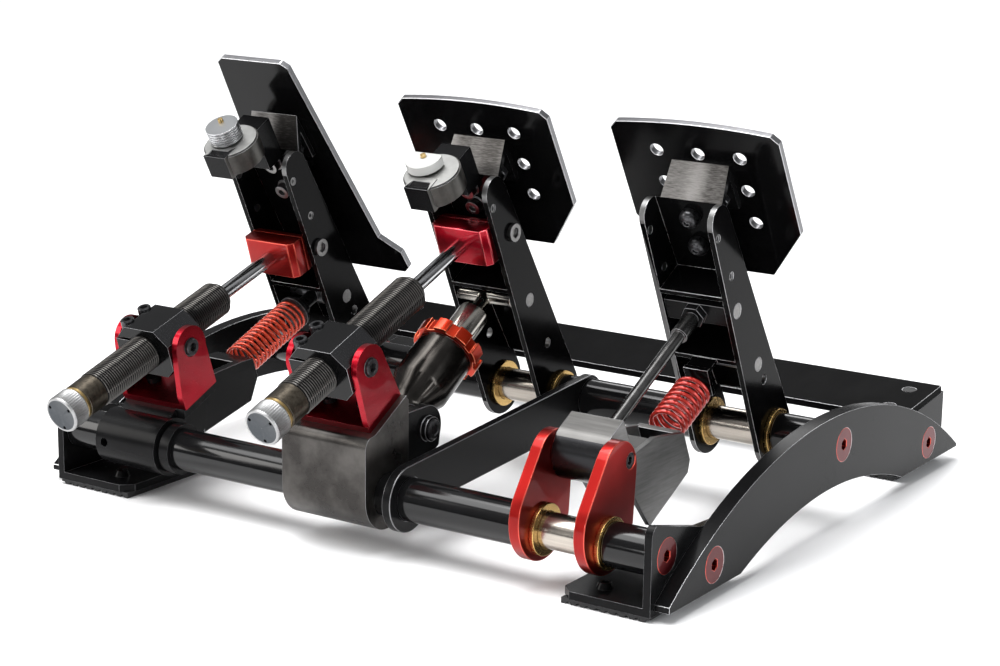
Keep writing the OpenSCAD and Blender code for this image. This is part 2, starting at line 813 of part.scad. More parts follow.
// Tongue and lug in front of the clutch arm's lower shelf, for the spring's hook
hook_at = on_slope(clutch_seat, clutch_spring_slope, clutch_spring_len, 0);
hook_shelf = 57.8;

module hook_lug() {
    across(-7, 7) {
        polygon([
            on_slope(hook_at, clutch_spring_slope, 0, 9), on_slope(hook_at, clutch_spring_slope, 0, -7),
            on_slope(hook_at, clutch_spring_slope, 2.5, -7), on_slope(hook_at, clutch_spring_slope, 2.5, 9)
        ]);
        polygon([
            on_arm(hook_shelf + 0.4, 6), on_arm(hook_shelf + 2.1, 6),
            on_arm(hook_shelf + 2.1, 24.5), on_arm(hook_shelf + 0.4, 24.5)
        ]);
    }
}

module clutch_arm() {
    color("black") difference() {
        arm(clutch_x, [low_hole], [hook_shelf, 98], web_screws) hook_lug();
        set() arm_pin_holes(clutch_x, high_screws, [low_pin]);
        set() bar(low_pivot, clutch_pin_d, clutch_x - arm_w, clutch_x + arm_w);
    }
}

// Gold flanged bushes, with their flanges on the left faces
module bush(at, face_x, sheet) {
    difference() {
        union() {
            bar(at, sleeve_d, face_x, face_x + sheet);
            bar(at, bush_flange_d, face_x - bush_flange_t, face_x);
        }
        bar(at, shaft_d + 2 * pivot_play, face_x - bush_flange_t - cut, face_x + sheet + cut);
    }
}

module arm_bushes(x) {
    color("gold") set() {
        bush(axle, x - arm_w / 2, arm_t);
        bush(axle, x + flange_in, arm_t);
    }
}

module throttle_bushes() { arm_bushes(throttle_x); }
module brake_bushes() { arm_bushes(brake_x); }
module clutch_bushes() { arm_bushes(clutch_x); }

// Pads
// Local X is across, local Y runs up the pad from its top edge, local Z points at the driver
module pad_frame(x, back, h, lean) { set() translate([x, -back, h]) rotate([90 - lean, 0, 0]) children(); }

module short_pad_outline() {
    crown = 2.5;
    corner = 4;
    polygon(concat(
        [for (i = [-8:8]) let (u = i / 8) [u * (pad_half_w - corner), crown * (1 - u * u)]],
        [
            [pad_half_w, -corner], [pad_half_w, -pad_len * 0.67], [pad_half_w * 0.55, -pad_len],
            [-pad_half_w * 0.55, -pad_len], [-pad_half_w, -pad_len * 0.67], [-pad_half_w, -corner]
        ]
    ));
}

module short_pad(x) {
    color("black") pad_frame(x, pad_top_back, pad_top_h, pad_lean) difference() {
        linear_extrude(pad_t) short_pad_outline();
        for (place = [[0, 15.5], for (side = [-1, 1], drop = [15.5, 35.7, 56]) [side * 23.5, drop]])
            translate([place[0], -place[1], -cut]) cylinder(d = pad_hole_d, h = pad_t + 2 * cut);
        pad_screw_holes(pad_top_h, pad_lean);
    }
}

module brake_pad() { short_pad(brake_x); }
module clutch_pad() { short_pad(clutch_x); }

// Closes a right-hand outline with its mirror image
function pad_loop(right) =
    concat(right, [for (i = [len(right) - 1:-1:0]) [-right[i][0], right[i][1]]]);

module throttle_pad() {
    waist = throttle_pad_len * 0.83;
    color("black") pad_frame(throttle_x, throttle_pad_back, throttle_pad_h, throttle_pad_lean) difference() {
        linear_extrude(pad_t) polygon(pad_loop([
            [throttle_top_half_w - 4, 0], [throttle_top_half_w, -3], [throttle_low_half_w, -waist],
            [throttle_foot_half_w - 1, -waist - 10], [throttle_foot_half_w, -throttle_pad_len + 4],
            [throttle_foot_half_w - 4, -throttle_pad_len]
        ]));
        pad_screw_holes(throttle_pad_h, throttle_pad_lean);
    }
}

// Heights between which the bracket's folded flange lies against the pad
bracket_low_h = 171;
bracket_high_h = 190;
bracket_t = 3;
screw_d = 5;

// Distances of the pad screws below the pad's top edge
function screw_drop(pad_h, lean, share) =
    (pad_h - bracket_low_h - share * (bracket_high_h - bracket_low_h)) / cos(lean);
function screw_places(pad_h, lean) = [for (side = [-1, 1]) [side * 10, -screw_drop(pad_h, lean, 0.28)]];

module pad_screw_holes(pad_h, lean) {
    for (p = screw_places(pad_h, lean)) translate([p[0], p[1], -bracket_t - cut])
        cylinder(d = screw_d, h = pad_t + bracket_t + 2 * cut);
}

module pad_screws(pad_h, lean) {
    for (p = screw_places(pad_h, lean)) translate([p[0], p[1], 0]) {
        translate([0, 0, -bracket_t - 3.5]) cylinder(d = screw_d, h = pad_t + bracket_t + 3.5);
        translate([0, 0, -bracket_t - 3.5]) cylinder(d = 8.5, h = 3.5, $fn = 6);
        translate([0, 0, pad_t]) cylinder(d1 = 9, d2 = 6, h = 2.4);
    }
}

// Bent sheet seen from the side, from the middle line of the sheet
function unit(v) = v / norm(v);
function left_of(v) = [-v[1], v[0]];
function mitre(p, i) = let (
    a = left_of(unit(p[max(i, 1)] - p[max(i, 1) - 1])),
    b = left_of(unit(p[min(i, len(p) - 2) + 1] - p[min(i, len(p) - 2)]))
) (a + b) / (1 + a * b);

module ribbon(p, t) {
    polygon(concat(
        [for (i = [0:len(p) - 1]) p[i] + t / 2 * mitre(p, i)],
        [for (i = [len(p) - 1:-1:0]) p[i] - t / 2 * mitre(p, i)]
    ));
}

// Bracket between an arm and its pad
web_screws = [135.5, 117];
brake_web_screws = [136, 125];

// Point on the middle line of the bracket's upper flat, at a height
function behind_pad(back, h, lean, z) =
    [-back, h] - (h - z) / cos(lean) * [sin(lean), cos(lean)] + bracket_t / 2 * [cos(lean), -sin(lean)];

module pad_bracket(x, back, h, lean, screws) {
    color("dimgray") difference() {
        set() intersection() {
            across(x - 17.5, x + 17.5) ribbon([
                web_at(106) + bracket_t / 2 * back_normal, web_at(141.5) + bracket_t / 2 * back_normal,
                behind_pad(back, h, lean, bracket_high_h), behind_pad(back, h, lean, bracket_low_h)
            ], bracket_t);
            translate([x, 0, 0]) rotate([90, 0, 0]) linear_extrude(300) polygon([
                [-17.5, 100], [17.5, 100], [17.5, bracket_low_h + 3], [16, bracket_high_h + 5],
                [-16, bracket_high_h + 5], [-17.5, bracket_low_h + 3]
            ]);
        }
        pad_frame(x, back, h, lean) pad_screw_holes(h, lean);
        set() web_screw_holes(x, screws);
    }
}

module throttle_pad_bracket() {
    pad_bracket(throttle_x, throttle_pad_back, throttle_pad_h, throttle_pad_lean, web_screws);
}
module brake_pad_bracket() { pad_bracket(brake_x, pad_top_back, pad_top_h, pad_lean, brake_web_screws); }
module clutch_pad_bracket() { pad_bracket(clutch_x, pad_top_back, pad_top_h, pad_lean, web_screws); }

// Puts parts on the web's back face, pointing at the driver
module on_web(x, s) {
    at = web_at(s);
    translate([x, at[0], at[1]]) rotate([back_angle - 90, 0, 0]) children();
}

module web_screw_holes(x, screws) {
    for (s = screws) on_web(x, s) translate([0, 0, -arm_t - cut])
        cylinder(d = screw_d, h = arm_t + bracket_t + 2 * cut);
}

module web_screw_set(x, screws, domed = false) {
    for (s = screws) on_web(x, s) difference() {
        union() {
            if (domed) translate([0, 0, -arm_t - 2.4]) intersection() {
                scale([1, 1, 0.75]) sphere(d = 10.6);
                translate([0, 0, -10]) cube([20, 20, 20], center = true);
            }
            translate([0, 0, -arm_t]) cylinder(d = screw_d, h = arm_t + bracket_t + 3);
            translate([0, 0, bracket_t]) cylinder(d = 8.5, h = 3.5, $fn = 6);
            translate([0, 0, -arm_t - (domed ? 2.4 : 0.8)]) cylinder(d = 10.6, h = domed ? 2.4 : 0.8);
            if (!domed) translate([0, 0, -arm_t - 5.2]) cylinder(d = 8.5, h = 4.4);
        }
        translate([0, 0, -arm_t - (domed ? 7 : 5.2) - cut])
            cylinder(d = domed ? 3.6 : 4.6, h = 2.6 + cut, $fn = 6);
    }
}

// Pivot pin with socket heads on the arm's outer faces
pin_head_t = 2.2;

module headed_pin(at, x) {
    bar(at, pivot_pin_d, x - arm_w / 2, x + arm_w / 2);
    for (side = [-1, 1]) difference() {
        bar(at, 10, x + (side < 0 ? -arm_w / 2 - pin_head_t : arm_w / 2),
            x + (side < 0 ? -arm_w / 2 : arm_w / 2 + pin_head_t));
        translate([x + side * (arm_w / 2 + pin_head_t), at[0], at[1]]) rotate([0, 90, 0])
            cylinder(d = 6, h = 3.2, center = true, $fn = 6);
    }
}

// Stud that carries the far end of the throttle spring
stud_d = 8;
throttle_spring_end = on_slope(throttle_seat, throttle_spring_slope, throttle_spring_len, 0);
stud_len = norm(low_pin - throttle_spring_end);

module throttle_stud() {
    translate([throttle_x, 0, 0]) along(throttle_spring_end, throttle_spring_slope)
        translate([0, 0, 2]) cylinder(d = stud_d, h = stud_len - 4);
    bar(low_pin, 13, throttle_x - 7, throttle_x + 7);
}

module throttle_fasteners() {
    color("dimgray") {
        pad_frame(throttle_x, throttle_pad_back, throttle_pad_h, throttle_pad_lean)
            pad_screws(throttle_pad_h, throttle_pad_lean);
        set() {
            web_screw_set(throttle_x, web_screws);
            headed_pin(low_pivot, throttle_x);
            arm_pins(throttle_x, high_screws, [low_pin]);
            throttle_stud();
            translate([throttle_x, 0, 0]) along(throttle_spring_end, throttle_spring_slope) {
                cylinder(d = spring_d, h = 2);
                translate([0, 0, 2]) cylinder(d = 14, h = 5, $fn = 6);
            }
        }
    }
}

module brake_fasteners() {
    color("dimgray") {
        pad_frame(brake_x, pad_top_back, pad_top_h, pad_lean) pad_screws(pad_top_h, pad_lean);
        set() {
            web_screw_set(brake_x, brake_web_screws);
            headed_pin(brake_pivot, brake_x);
            arm_pins(brake_x, [high_screws[0]], [brake_low_pin]);
            bar(plunger_pivot, pivot_pin_d, brake_x - plunger_pin_half, brake_x + plunger_pin_half);
        }
    }
}

module clutch_fasteners() {
    color("dimgray") {
        pad_frame(clutch_x, pad_top_back, pad_top_h, pad_lean) pad_screws(pad_top_h, pad_lean);
        set() {
            web_screw_set(clutch_x, web_screws, true);
            arm_pins(clutch_x, high_screws, [low_pin]);
            bar(low_pivot, clutch_pin_d, clutch_x - arm_w / 2, clutch_x - flange_in);
            bar(low_pivot, clutch_pin_d, clutch_x + flange_in, clutch_x + arm_w / 2);
            bar(low_pivot, pivot_pin_d, clutch_x - flange_in, clutch_x + flange_in);
        }
    }
}

// Vibration motors
// A flat can with its shaft beside its axis, held at the arm's top end by a carrier plate and a front clip
brake_motor_low = 152.5;
throttle_motor_low = 156;
carrier_low = 142.5;
carrier_half_w = 9;
carrier_front = 8;
cradle_back = arm_t - half_depth(arm_len + arm_top_r);
motor_shaft_d = 3;
shaft_side = 5.2;
shaft_back = 3.5;
clip_half_w = 7.5;
clip_reach = 16;

// Carries local Z up an arm at a place in front of its centre line
module arm_frame(x, s, ahead) {
    at = on_arm(s, ahead);
    set() translate([x, at[0], at[1]]) rotate([-arm_lean, 0, 0]) children();
}

module motor(x, low, shaft_h) {
    arm_frame(x, low, 0) {
        translate([0, motor_front, 0]) {
            cylinder(d = motor_d - 1.6, h = motor_len);
            translate([0, 0, 0.8]) cylinder(d = motor_d, h = motor_len - 1.6);
            translate([shaft_side, -shaft_back, 0]) cylinder(d = motor_shaft_d, h = motor_len + shaft_h);
            difference() {
                translate([-clip_half_w, 6, -0.6])
                    cube([2 * clip_half_w, clip_reach - 6, motor_len + 1]);
                translate([-clip_half_w + 2, 9.5, motor_len - 1.6]) cube([2 * clip_half_w - 4, 4.5, 3]);
            }
        }
        translate([-carrier_half_w, cradle_back, carrier_low - low])
            cube([2 * carrier_half_w, carrier_front - cradle_back, low + motor_len - 1 - carrier_low]);
    }
}

module throttle_motor() { color("black") motor(throttle_x, throttle_motor_low, 11.5); }
module brake_motor() { color("black") motor(brake_x, brake_motor_low, weight_t + 2.5); }

module weight(x, low) {
    arm_frame(x, low + motor_len + 1, motor_front) translate([shaft_side, -shaft_back, 0]) children();
}

module throttle_motor_weight() {
    rib_pitch = 1.55;
    rib_t = 1;
    ribs = 6;
    height = (ribs - 1) * rib_pitch + rib_t;
    color("silver") weight(throttle_x, throttle_motor_low) difference() {
        rotate([0, 0, 40.6]) translate([0, weight_offset, 0]) {
            cylinder(d = weight_d - 3.3, h = height);
            for (i = [0:ribs - 1]) translate([0, 0, i * rib_pitch]) cylinder(d = weight_d - 2, h = rib_t);
        }
        translate([0, 0, -cut]) cylinder(d = motor_shaft_d + 2 * pivot_play, h = height + 2 * cut);
    }
}

module brake_motor_weight() {
    corner = 2;
    color("white") weight(brake_x, brake_motor_low) difference() {
        linear_extrude(height = weight_t) offset(r = corner) offset(delta = -corner) intersection() {
            circle(d = weight_d);
            translate([-weight_d, -shaft_back]) square(2 * weight_d);
        }
        translate([0, 0, -cut]) cylinder(d = motor_shaft_d + 2 * pivot_play, h = weight_t + 2 * cut);
    }
}

// Dampers
// Local Z runs from the trunnion up to the rod's pivot, with zero at that pivot
gland_len = 3;
tube_low = rod_out + damper_len - knob_len - collar_len;
knob_spigot_d = 12;
knob_spigot_len = 7;
rod_inside = 50;

module damper_frame(at, slope, x) { set() translate([x, 0, 0]) along(at, slope) children(); }

module damper_tube() {
    difference() {
        union() {
            translate([0, 0, -tube_low]) cylinder(d = damper_d, h = tube_low - rod_out - gland_len);
            translate([0, 0, -rod_out - gland_len]) cylinder(d = damper_d - 4, h = gland_len);
            translate([0, 0, -tube_low - collar_len]) cylinder(d = damper_d - 0.6, h = collar_len);
            translate([0, 0, -tube_low - collar_len - knob_spigot_len])
                cylinder(d = knob_spigot_d, h = knob_spigot_len);
        }
        translate([0, 0, -rod_out - 84]) cylinder(d = damper_bore, h = 84 + cut);
    }
}

module damper_knob() {
    difference() {
        translate([0, 0, -rod_out - damper_len]) cylinder(d = damper_d, h = knob_len - 0.2);
        translate([0, 0, -rod_out - damper_len + knob_len - knob_spigot_len - 1])
            cylinder(d = knob_spigot_d + 2 * pivot_play, h = knob_spigot_len + 2);
        for (i = [0:2]) rotate([0, 0, i * 120 + 20])
            translate([7.4, 0, -rod_out - damper_len - cut]) cylinder(d = 1.6, h = 1.5 + cut);
        for (i = [0:23]) rotate([0, 0, i * 15])
            translate([damper_d / 2 + 0.6, 0, -rod_out - damper_len + 1.6])
                cylinder(d = 1.8, h = knob_len - 3.4);
    }
}

module damper_clamp(trunnion) {
    clamp_half_w = fork_in - face_gap;
    top = 14;
    low = -13;
    chamfer = 8;
    translate([0, 0, -trunnion]) difference() {
        union() {
            translate([0, 0, -clamp_half]) linear_extrude(2 * clamp_half) polygon([
                [-clamp_half_w, low + 5], [-clamp_half_w + 5, low], [clamp_half_w - 5, low],
                [clamp_half_w, low + 5], [clamp_half_w, top - chamfer], [clamp_half_w - chamfer, top],
                [-clamp_half_w + chamfer, top], [-clamp_half_w, top - chamfer]
            ]);
            for (side = [-1, 1]) rotate([0, side * 90, 0]) {
                cylinder(d = trunnion_d, h = fork_w / 2 - 2 + 0.2);
                translate([0, 0, fork_w / 2 - 2 + 0.1]) cylinder(d = 10, h = 1.8);
            }
        }
        translate([0, 0, -clamp_half - cut]) cylinder(d = damper_d, h = 2 * clamp_half + 2 * cut);
        translate([5, 6, -clamp_half - cut]) cube([20, 1.5, 2 * clamp_half + 2 * cut]);
        for (z = [-7, 7]) translate([clamp_half_w - 4.5, 12, z]) rotate([90, 0, 0])
            cylinder(d = 4, h = 3, $fn = 6);
    }
}

module damper_rod() {
    translate([0, 0, -rod_out - rod_inside]) cylinder(d = rod_d, h = rod_out + rod_inside - 12);
}

module rod_block() {
    half_w = flange_in - face_gap;
    nose = -9.5;
    difference() {
        union() {
            translate([-half_w, 0, 0]) rotate([90, 0, 90]) linear_extrude(2 * half_w)
                taper_plate([0, 0], pivot_pin_d / 2 + 1.7, [0, nose], rod_block_h / 2);
            rotate([90, 0, 0]) linear_extrude(rod_block_h, center = true) polygon([
                [-half_w, nose], [-half_w, -17], [-half_w + 3, -20],
                [half_w - 3, -20], [half_w, -17], [half_w, nose]
            ]);
        }
        rotate([0, 90, 0]) cylinder(d = pivot_pin_d + 2 * pivot_play, h = 3 * half_w, center = true);
        translate([0, 0, -20 - cut]) cylinder(d = rod_d, h = 8 + cut);
    }
}

module in_throttle() { damper_frame(low_pivot, throttle_slope, throttle_x) children(); }
module in_brake() { damper_frame(brake_pivot, brake_slope, brake_x) children(); }

module throttle_damper_tube() { color("dimgray") in_throttle() damper_tube(); }
module throttle_damper_knob() { color("silver") in_throttle() damper_knob(); }
module throttle_damper_rod() { color("silver") in_throttle() damper_rod(); }
module throttle_rod_block() { color("orangered") in_throttle() rod_block(); }
module throttle_damper_clamp() { color("black") in_throttle() damper_clamp(throttle_trunnion); }

module brake_damper_tube() { color("dimgray") in_brake() damper_tube(); }
module brake_damper_knob() { color("silver") in_brake() damper_knob(); }
module brake_damper_rod() { color("silver") in_brake() damper_rod(); }
module brake_rod_block() { color("crimson") in_brake() rod_block(); }
module brake_damper_clamp() { color("black") in_brake() damper_clamp(brake_trunnion); }

// Brake cup with its ring and plunger
ring_start = 52;

module cup_frame() { damper_frame(cup_pivot, cup_slope, brake_x) children(); }

module brake_cup() {
    eye_half_w = clevis_in - face_gap;
    color("black") cup_frame() difference() {
        union() {
            rotate([0, 90, 0]) cylinder(d = 20, h = 2 * eye_half_w, center = true);
            cylinder(d = 20, h = 13);
            translate([0, 0, 12]) cylinder(d1 = 20, d2 = cup_d, h = 14);
            translate([0, 0, 26]) cylinder(d = cup_d, h = ring_start - 26);
            translate([0, 0, 26]) cylinder(d = cup_d - 4, h = ring_start + ring_w + 1 - 26);
        }
        rotate([0, 90, 0]) cylinder(d = 8 + 2 * pivot_play, h = 60, center = true);
        translate([0, 0, 22]) cylinder(d = cup_bore, h = 60);
    }
}

module brake_adjuster_ring() {
    color("crimson") cup_frame() translate([0, 0, ring_start + 0.1]) difference() {
        cylinder(d = ring_d, h = ring_w);
        translate([0, 0, -cut]) cylinder(d = cup_d - 4 + 2 * pivot_play, h = ring_w + 2 * cut);
        for (i = [0:8]) rotate([0, 0, i * 40])
            translate([ring_d / 2 - 2, -2.5, -cut]) cube([6, 5, ring_w + 2 * cut]);
    }
}

module brake_plunger() {
    eye_half_w = flange_in - face_gap;
    color("silver") cup_frame() difference() {
        union() {
            translate([0, 0, 34]) cylinder(d = plunger_d, h = plunger_reach - 15 - 34);
            translate([0, 0, plunger_reach - 16]) cylinder(d = 7.8, h = 14);
            translate([0, 0, plunger_reach]) rotate([0, 90, 0])
                cylinder(d = pivot_pin_d + 3.8, h = 2 * eye_half_w, center = true);
        }
        translate([0, 0, plunger_reach]) rotate([0, 90, 0])
            cylinder(d = pivot_pin_d + 2 * pivot_play, h = 60, center = true);
    }
}

// Clutch rocker of two red links
module link_profile() {
    difference() {
        taper_plate([-1, shaft_h + 6.6], 22.5, coupler_pivot + [9.5, -3.8], 15.5);
        translate(shaft) circle(d = sleeve_d);
    }
}

module clutch_links() {
    color("crimson") set() for (x = [clutch_x - link_out, clutch_x + link_in]) difference() {
        across(x, x + link_t) link_profile();
        bar(coupler_pivot, link_pin_d, x - cut, x + link_t + cut);
        bar(coupler_pivot, 8, x < clutch_x ? x - cut : x + 2, x < clutch_x ? x + 4 : x + link_t + cut);
    }
}

module clutch_link_bushes() {
    color("gold") set() for (x = [clutch_x - link_out, clutch_x + link_in]) bush(shaft, x, link_t);
}

module clutch_link_pins() {
    color("dimgray") set() {
        for (side = [-1, 1]) translate([clutch_x, 0, 0]) mirror([side < 0 ? 1 : 0, 0, 0]) difference() {
            union() {
                bar(coupler_pivot, link_pin_d, link_in - 4, link_out - 3.9);
                bar(coupler_pivot, 8, link_out - 4, link_out - 0.5);
            }
            translate([link_out - 2.5, coupler_pivot[0], coupler_pivot[1]]) rotate([0, 90, 0])
                cylinder(d = 4.6, h = 4, $fn = 6);
        }
    }
}

// Coupler between the links, with the spring's bracket
block_front = 11.3;

module clutch_coupler() {
    half_w = link_in - face_gap;
    slope = clutch_spring_slope;
    color("dimgray") set() translate([clutch_x, 0, 0]) difference() {
        union() {
            along(coupler_pivot, push_slope) translate([-half_w, 0, 0]) rotate([90, 0, 90])
                linear_extrude(2 * half_w) polygon(concat(
                    arc([0, 0], coupler_r, 180, 360, 32),
                    [[coupler_r, block_front], [-coupler_r, block_front]]
                ));
            for (x = [-14, 11]) across(x, x + 3) polygon([
                [-24, 55], [-29, 62], [-54.4, 66.8], on_slope(clutch_seat, slope, -0.5, 3.2),
                on_slope(clutch_seat, slope, -0.5, -14), on_slope(clutch_seat, slope, -5, -19), [-52, 22.5]
            ]);
            across(-12, 12) {
                polygon([
                    on_slope(clutch_seat, slope, 0, 4), on_slope(clutch_seat, slope, 0, -13),
                    on_slope(clutch_seat, slope, -3, -13), on_slope(clutch_seat, slope, -3, 4)
                ]);
                polygon([[-53.8, 66.1], [-31, 61.8], [-31, 58.8], [-53.4, 63.1]]);
            }
        }
        for (x = [-half_w - cut, half_w - 4.4])
            bar(coupler_pivot, link_pin_d + 2 * link_pin_room, x, x + 4.4 + cut);
        along(coupler_pivot, push_slope) translate([0, 0, block_front - 8]) cylinder(d = push_rod_d, h = 40);
    }
}

module clutch_push_rod() {
    eye_half_w = flange_in - face_gap;
    push_block = 12;
    color("dimgray") set() translate([clutch_x, 0, 0]) along(coupler_pivot, push_slope) difference() {
        union() {
            translate([0, 0, block_front - 8]) cylinder(d = push_rod_d, h = push_len - block_front + 6);
            translate([0, 0, block_front]) cylinder(d = 11.5, h = 7, $fn = 6);
            translate([0, 0, push_len - 25]) cylinder(d = 9, h = 13);
            translate([0, 0, push_len - 10]) cylinder(d = 13, h = 4, $fn = 6);
            translate([-eye_half_w, -push_block / 2, push_len - push_block / 2])
                cube([2 * eye_half_w, push_block, push_block]);
        }
        translate([0, 0, push_len]) rotate([0, 90, 0])
            cylinder(d = pivot_pin_d + 2 * pivot_play, h = 60, center = true);
    }
}

// Springs
// Tube around a path of points, with its rings carried along the path
sides = 6;

function tangent(p, i) = i == 0 || i == len(p) - 1 ? [0, 0, 1] : unit(p[i + 1] - p[i - 1]);
function square_to(u, t) = unit(u - (u * t) * t);
function carried(p, first) = [for (i = 0, u = first; i < len(p); i = i + 1,
    u = i < len(p) ? square_to(u, tangent(p, i)) : u) u];

module tube(p, wire, first) {
    u = carried(p, first);
    n = len(p);
    points = [for (i = [0:n - 1]) let (v = cross(tangent(p, i), u[i])) for (k = [0:sides - 1])
        p[i] + wire / 2 * (cos(k * 360 / sides) * u[i] + sin(k * 360 / sides) * v)];
    wall = [for (i = [0:n - 2], k = [0:sides - 1]) let (
        a = i * sides + k, b = i * sides + (k + 1) % sides
    ) each [[a, a + sides, b], [b, a + sides, b + sides]]];
    last = (n - 1) * sides;
    caps = [for (k = [1:sides - 2]) each [[0, k, k + 1], [last, last + k + 1, last + k]]];
    polyhedron(points = points, faces = concat(wall, caps));
}

// Least gap of a path's tube to itself, between places more than half a curl apart
function least_gap(p, wire) =
    min([for (i = [0:len(p) - 6]) min([for (j = [i + 5:len(p) - 1]) norm(p[i] - p[j])])]) - wire;

function curl_points(r, z0, z1, curls, start) =
    [for (i = [0:8 * curls]) [
        r * cos(start + 45 * i), r * sin(start + 45 * i), z0 + (z1 - z0) * i / (8 * curls)
    ]];

// Compression spring whose ends stand square on their seats
throttle_r = (spring_d - throttle_wire) / 2;
throttle_path = concat(
    [[0, -throttle_r, 0]],
    curl_points(throttle_r, throttle_wire, throttle_spring_len - throttle_wire, throttle_curls, -90),
    [[0, -throttle_r, throttle_spring_len]]
);

// Tension spring whose ends run in to the middle
clutch_r = (spring_d - clutch_wire) / 2;
clutch_path = concat(
    [[0, 0, 0], [0, 0, clutch_wire], [0, -clutch_r * 0.55, clutch_wire + 1.6]],
    curl_points(clutch_r, clutch_wire + 2.6, clutch_spring_len - clutch_wire - 2.6, clutch_curls - 1, -45),
    [
        [0, -clutch_r * 0.55, clutch_spring_len - clutch_wire - 1.6],
        [0, 0, clutch_spring_len - clutch_wire], [0, 0, clutch_spring_len]
    ]
);

module throttle_spring() {
    echo(throttle_spring_gap = least_gap(throttle_path, throttle_wire));
    color("orangered") damper_frame(throttle_seat, throttle_spring_slope, throttle_x)
        tube(throttle_path, throttle_wire, [1, 0, 0]);
}

module clutch_spring() {
    echo(clutch_spring_gap = least_gap(clutch_path, clutch_wire));
    color("orangered") damper_frame(clutch_seat, clutch_spring_slope, clutch_x)
        tube(clutch_path, clutch_wire, [1, 0, 0]);
}

front_foot_left();
front_foot_right();
rear_feet();
foot_pads();
side_arch_left();
side_arch_right();
red_screws();
front_shaft();
front_sleeves();
pedal_axle();
axle_sleeves();
brace_bar();
heel_plate();
base_bolts();
brake_mount_block();
brake_clevis();
brake_fork();
throttle_fork();
throttle_mount();
throttle_spring_block();
throttle_arm();
throttle_pad();
throttle_pad_bracket();
throttle_bushes();
throttle_fasteners();
throttle_motor();
throttle_motor_weight();
throttle_spring();
brake_arm();
brake_pad();
brake_pad_bracket();
brake_bushes();
brake_fasteners();
brake_motor();
brake_motor_weight();
brake_cup();
brake_adjuster_ring();
brake_plunger();
clutch_arm();
clutch_pad();
clutch_pad_bracket();
clutch_bushes();
clutch_fasteners();
clutch_spring();
clutch_links();
clutch_link_bushes();
clutch_link_pins();
clutch_coupler();
clutch_push_rod();
throttle_damper_tube();
throttle_damper_clamp();
throttle_damper_knob();
throttle_damper_rod();
throttle_rod_block();
brake_damper_tube();
brake_damper_clamp();
brake_damper_knob();
brake_damper_rod();
brake_rod_block();
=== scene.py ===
import json
import math

import bmesh
import bpy
from mathutils import Matrix, Vector


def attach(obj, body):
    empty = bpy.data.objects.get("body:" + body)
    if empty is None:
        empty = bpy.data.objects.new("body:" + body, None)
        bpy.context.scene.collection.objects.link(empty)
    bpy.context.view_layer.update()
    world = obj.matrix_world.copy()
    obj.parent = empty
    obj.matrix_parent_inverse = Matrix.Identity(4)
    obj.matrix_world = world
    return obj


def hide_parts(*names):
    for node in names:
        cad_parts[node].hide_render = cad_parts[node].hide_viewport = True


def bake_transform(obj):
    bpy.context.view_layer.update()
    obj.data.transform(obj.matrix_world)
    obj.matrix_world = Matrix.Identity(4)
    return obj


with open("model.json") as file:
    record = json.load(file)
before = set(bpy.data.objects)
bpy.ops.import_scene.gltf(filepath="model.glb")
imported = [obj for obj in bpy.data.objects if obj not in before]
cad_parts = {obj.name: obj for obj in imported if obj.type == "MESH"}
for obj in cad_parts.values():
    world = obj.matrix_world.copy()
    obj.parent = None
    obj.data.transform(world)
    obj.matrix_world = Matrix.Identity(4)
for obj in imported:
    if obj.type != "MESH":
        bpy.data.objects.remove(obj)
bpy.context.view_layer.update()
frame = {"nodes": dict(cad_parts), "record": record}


# Camera.
# It stands in front of the pedals on the clutch side, a little above them, with a long lens.
azimuth, elevation, roll = math.radians(33.60), math.radians(13.56), math.radians(0.76)
level = math.cos(elevation)
look = Vector((math.sin(azimuth) * level, -math.cos(azimuth) * level, -math.sin(elevation)))
level_right = Vector((-math.cos(azimuth), -math.sin(azimuth), 0.0))
level_up = level_right.cross(look)
right = math.cos(roll) * level_right + math.sin(roll) * level_up
up = math.cos(roll) * level_up - math.sin(roll) * level_right
bpy.ops.object.camera_add(location=(-0.6881, 1.0226, 0.3816))
camera = bpy.context.object
camera.name = "camera"
camera.rotation_euler = Matrix((right, up, -look)).transposed().to_euler()
camera.data.lens = 84.15
camera.data.sensor_width = 36.0
camera.data.clip_start = 0.05
bpy.context.scene.camera = camera


# Studio.
# A white floor lit evenly from high up, in dim surroundings, so that the black gloss stays deep.
# Soft boxes above and beside the pedals draw the long highlights on the gloss and the steel.
class Socket:
    """A shader value that takes part in plain arithmetic."""

    def __init__(self, shader, socket):
        self.shader, self.socket = shader, socket

    def maths(self, operation, *others):
        return self.shader.node("ShaderNodeMath", {"operation": operation}, *((self,) + others))

    def __add__(self, other):
        return self.maths("ADD", other)

    def __radd__(self, other):
        return self.maths("ADD", other)

    def __mul__(self, other):
        return self.maths("MULTIPLY", other)

    def __rmul__(self, other):
        return self.maths("MULTIPLY", other)

    def limited(self, low, high):
        """This value spread from low to high over 0 to 1, and held there."""
        return self.shader.node("ShaderNodeMapRange", {"clamp": True}, self, low, high, 0.0, 1.0)


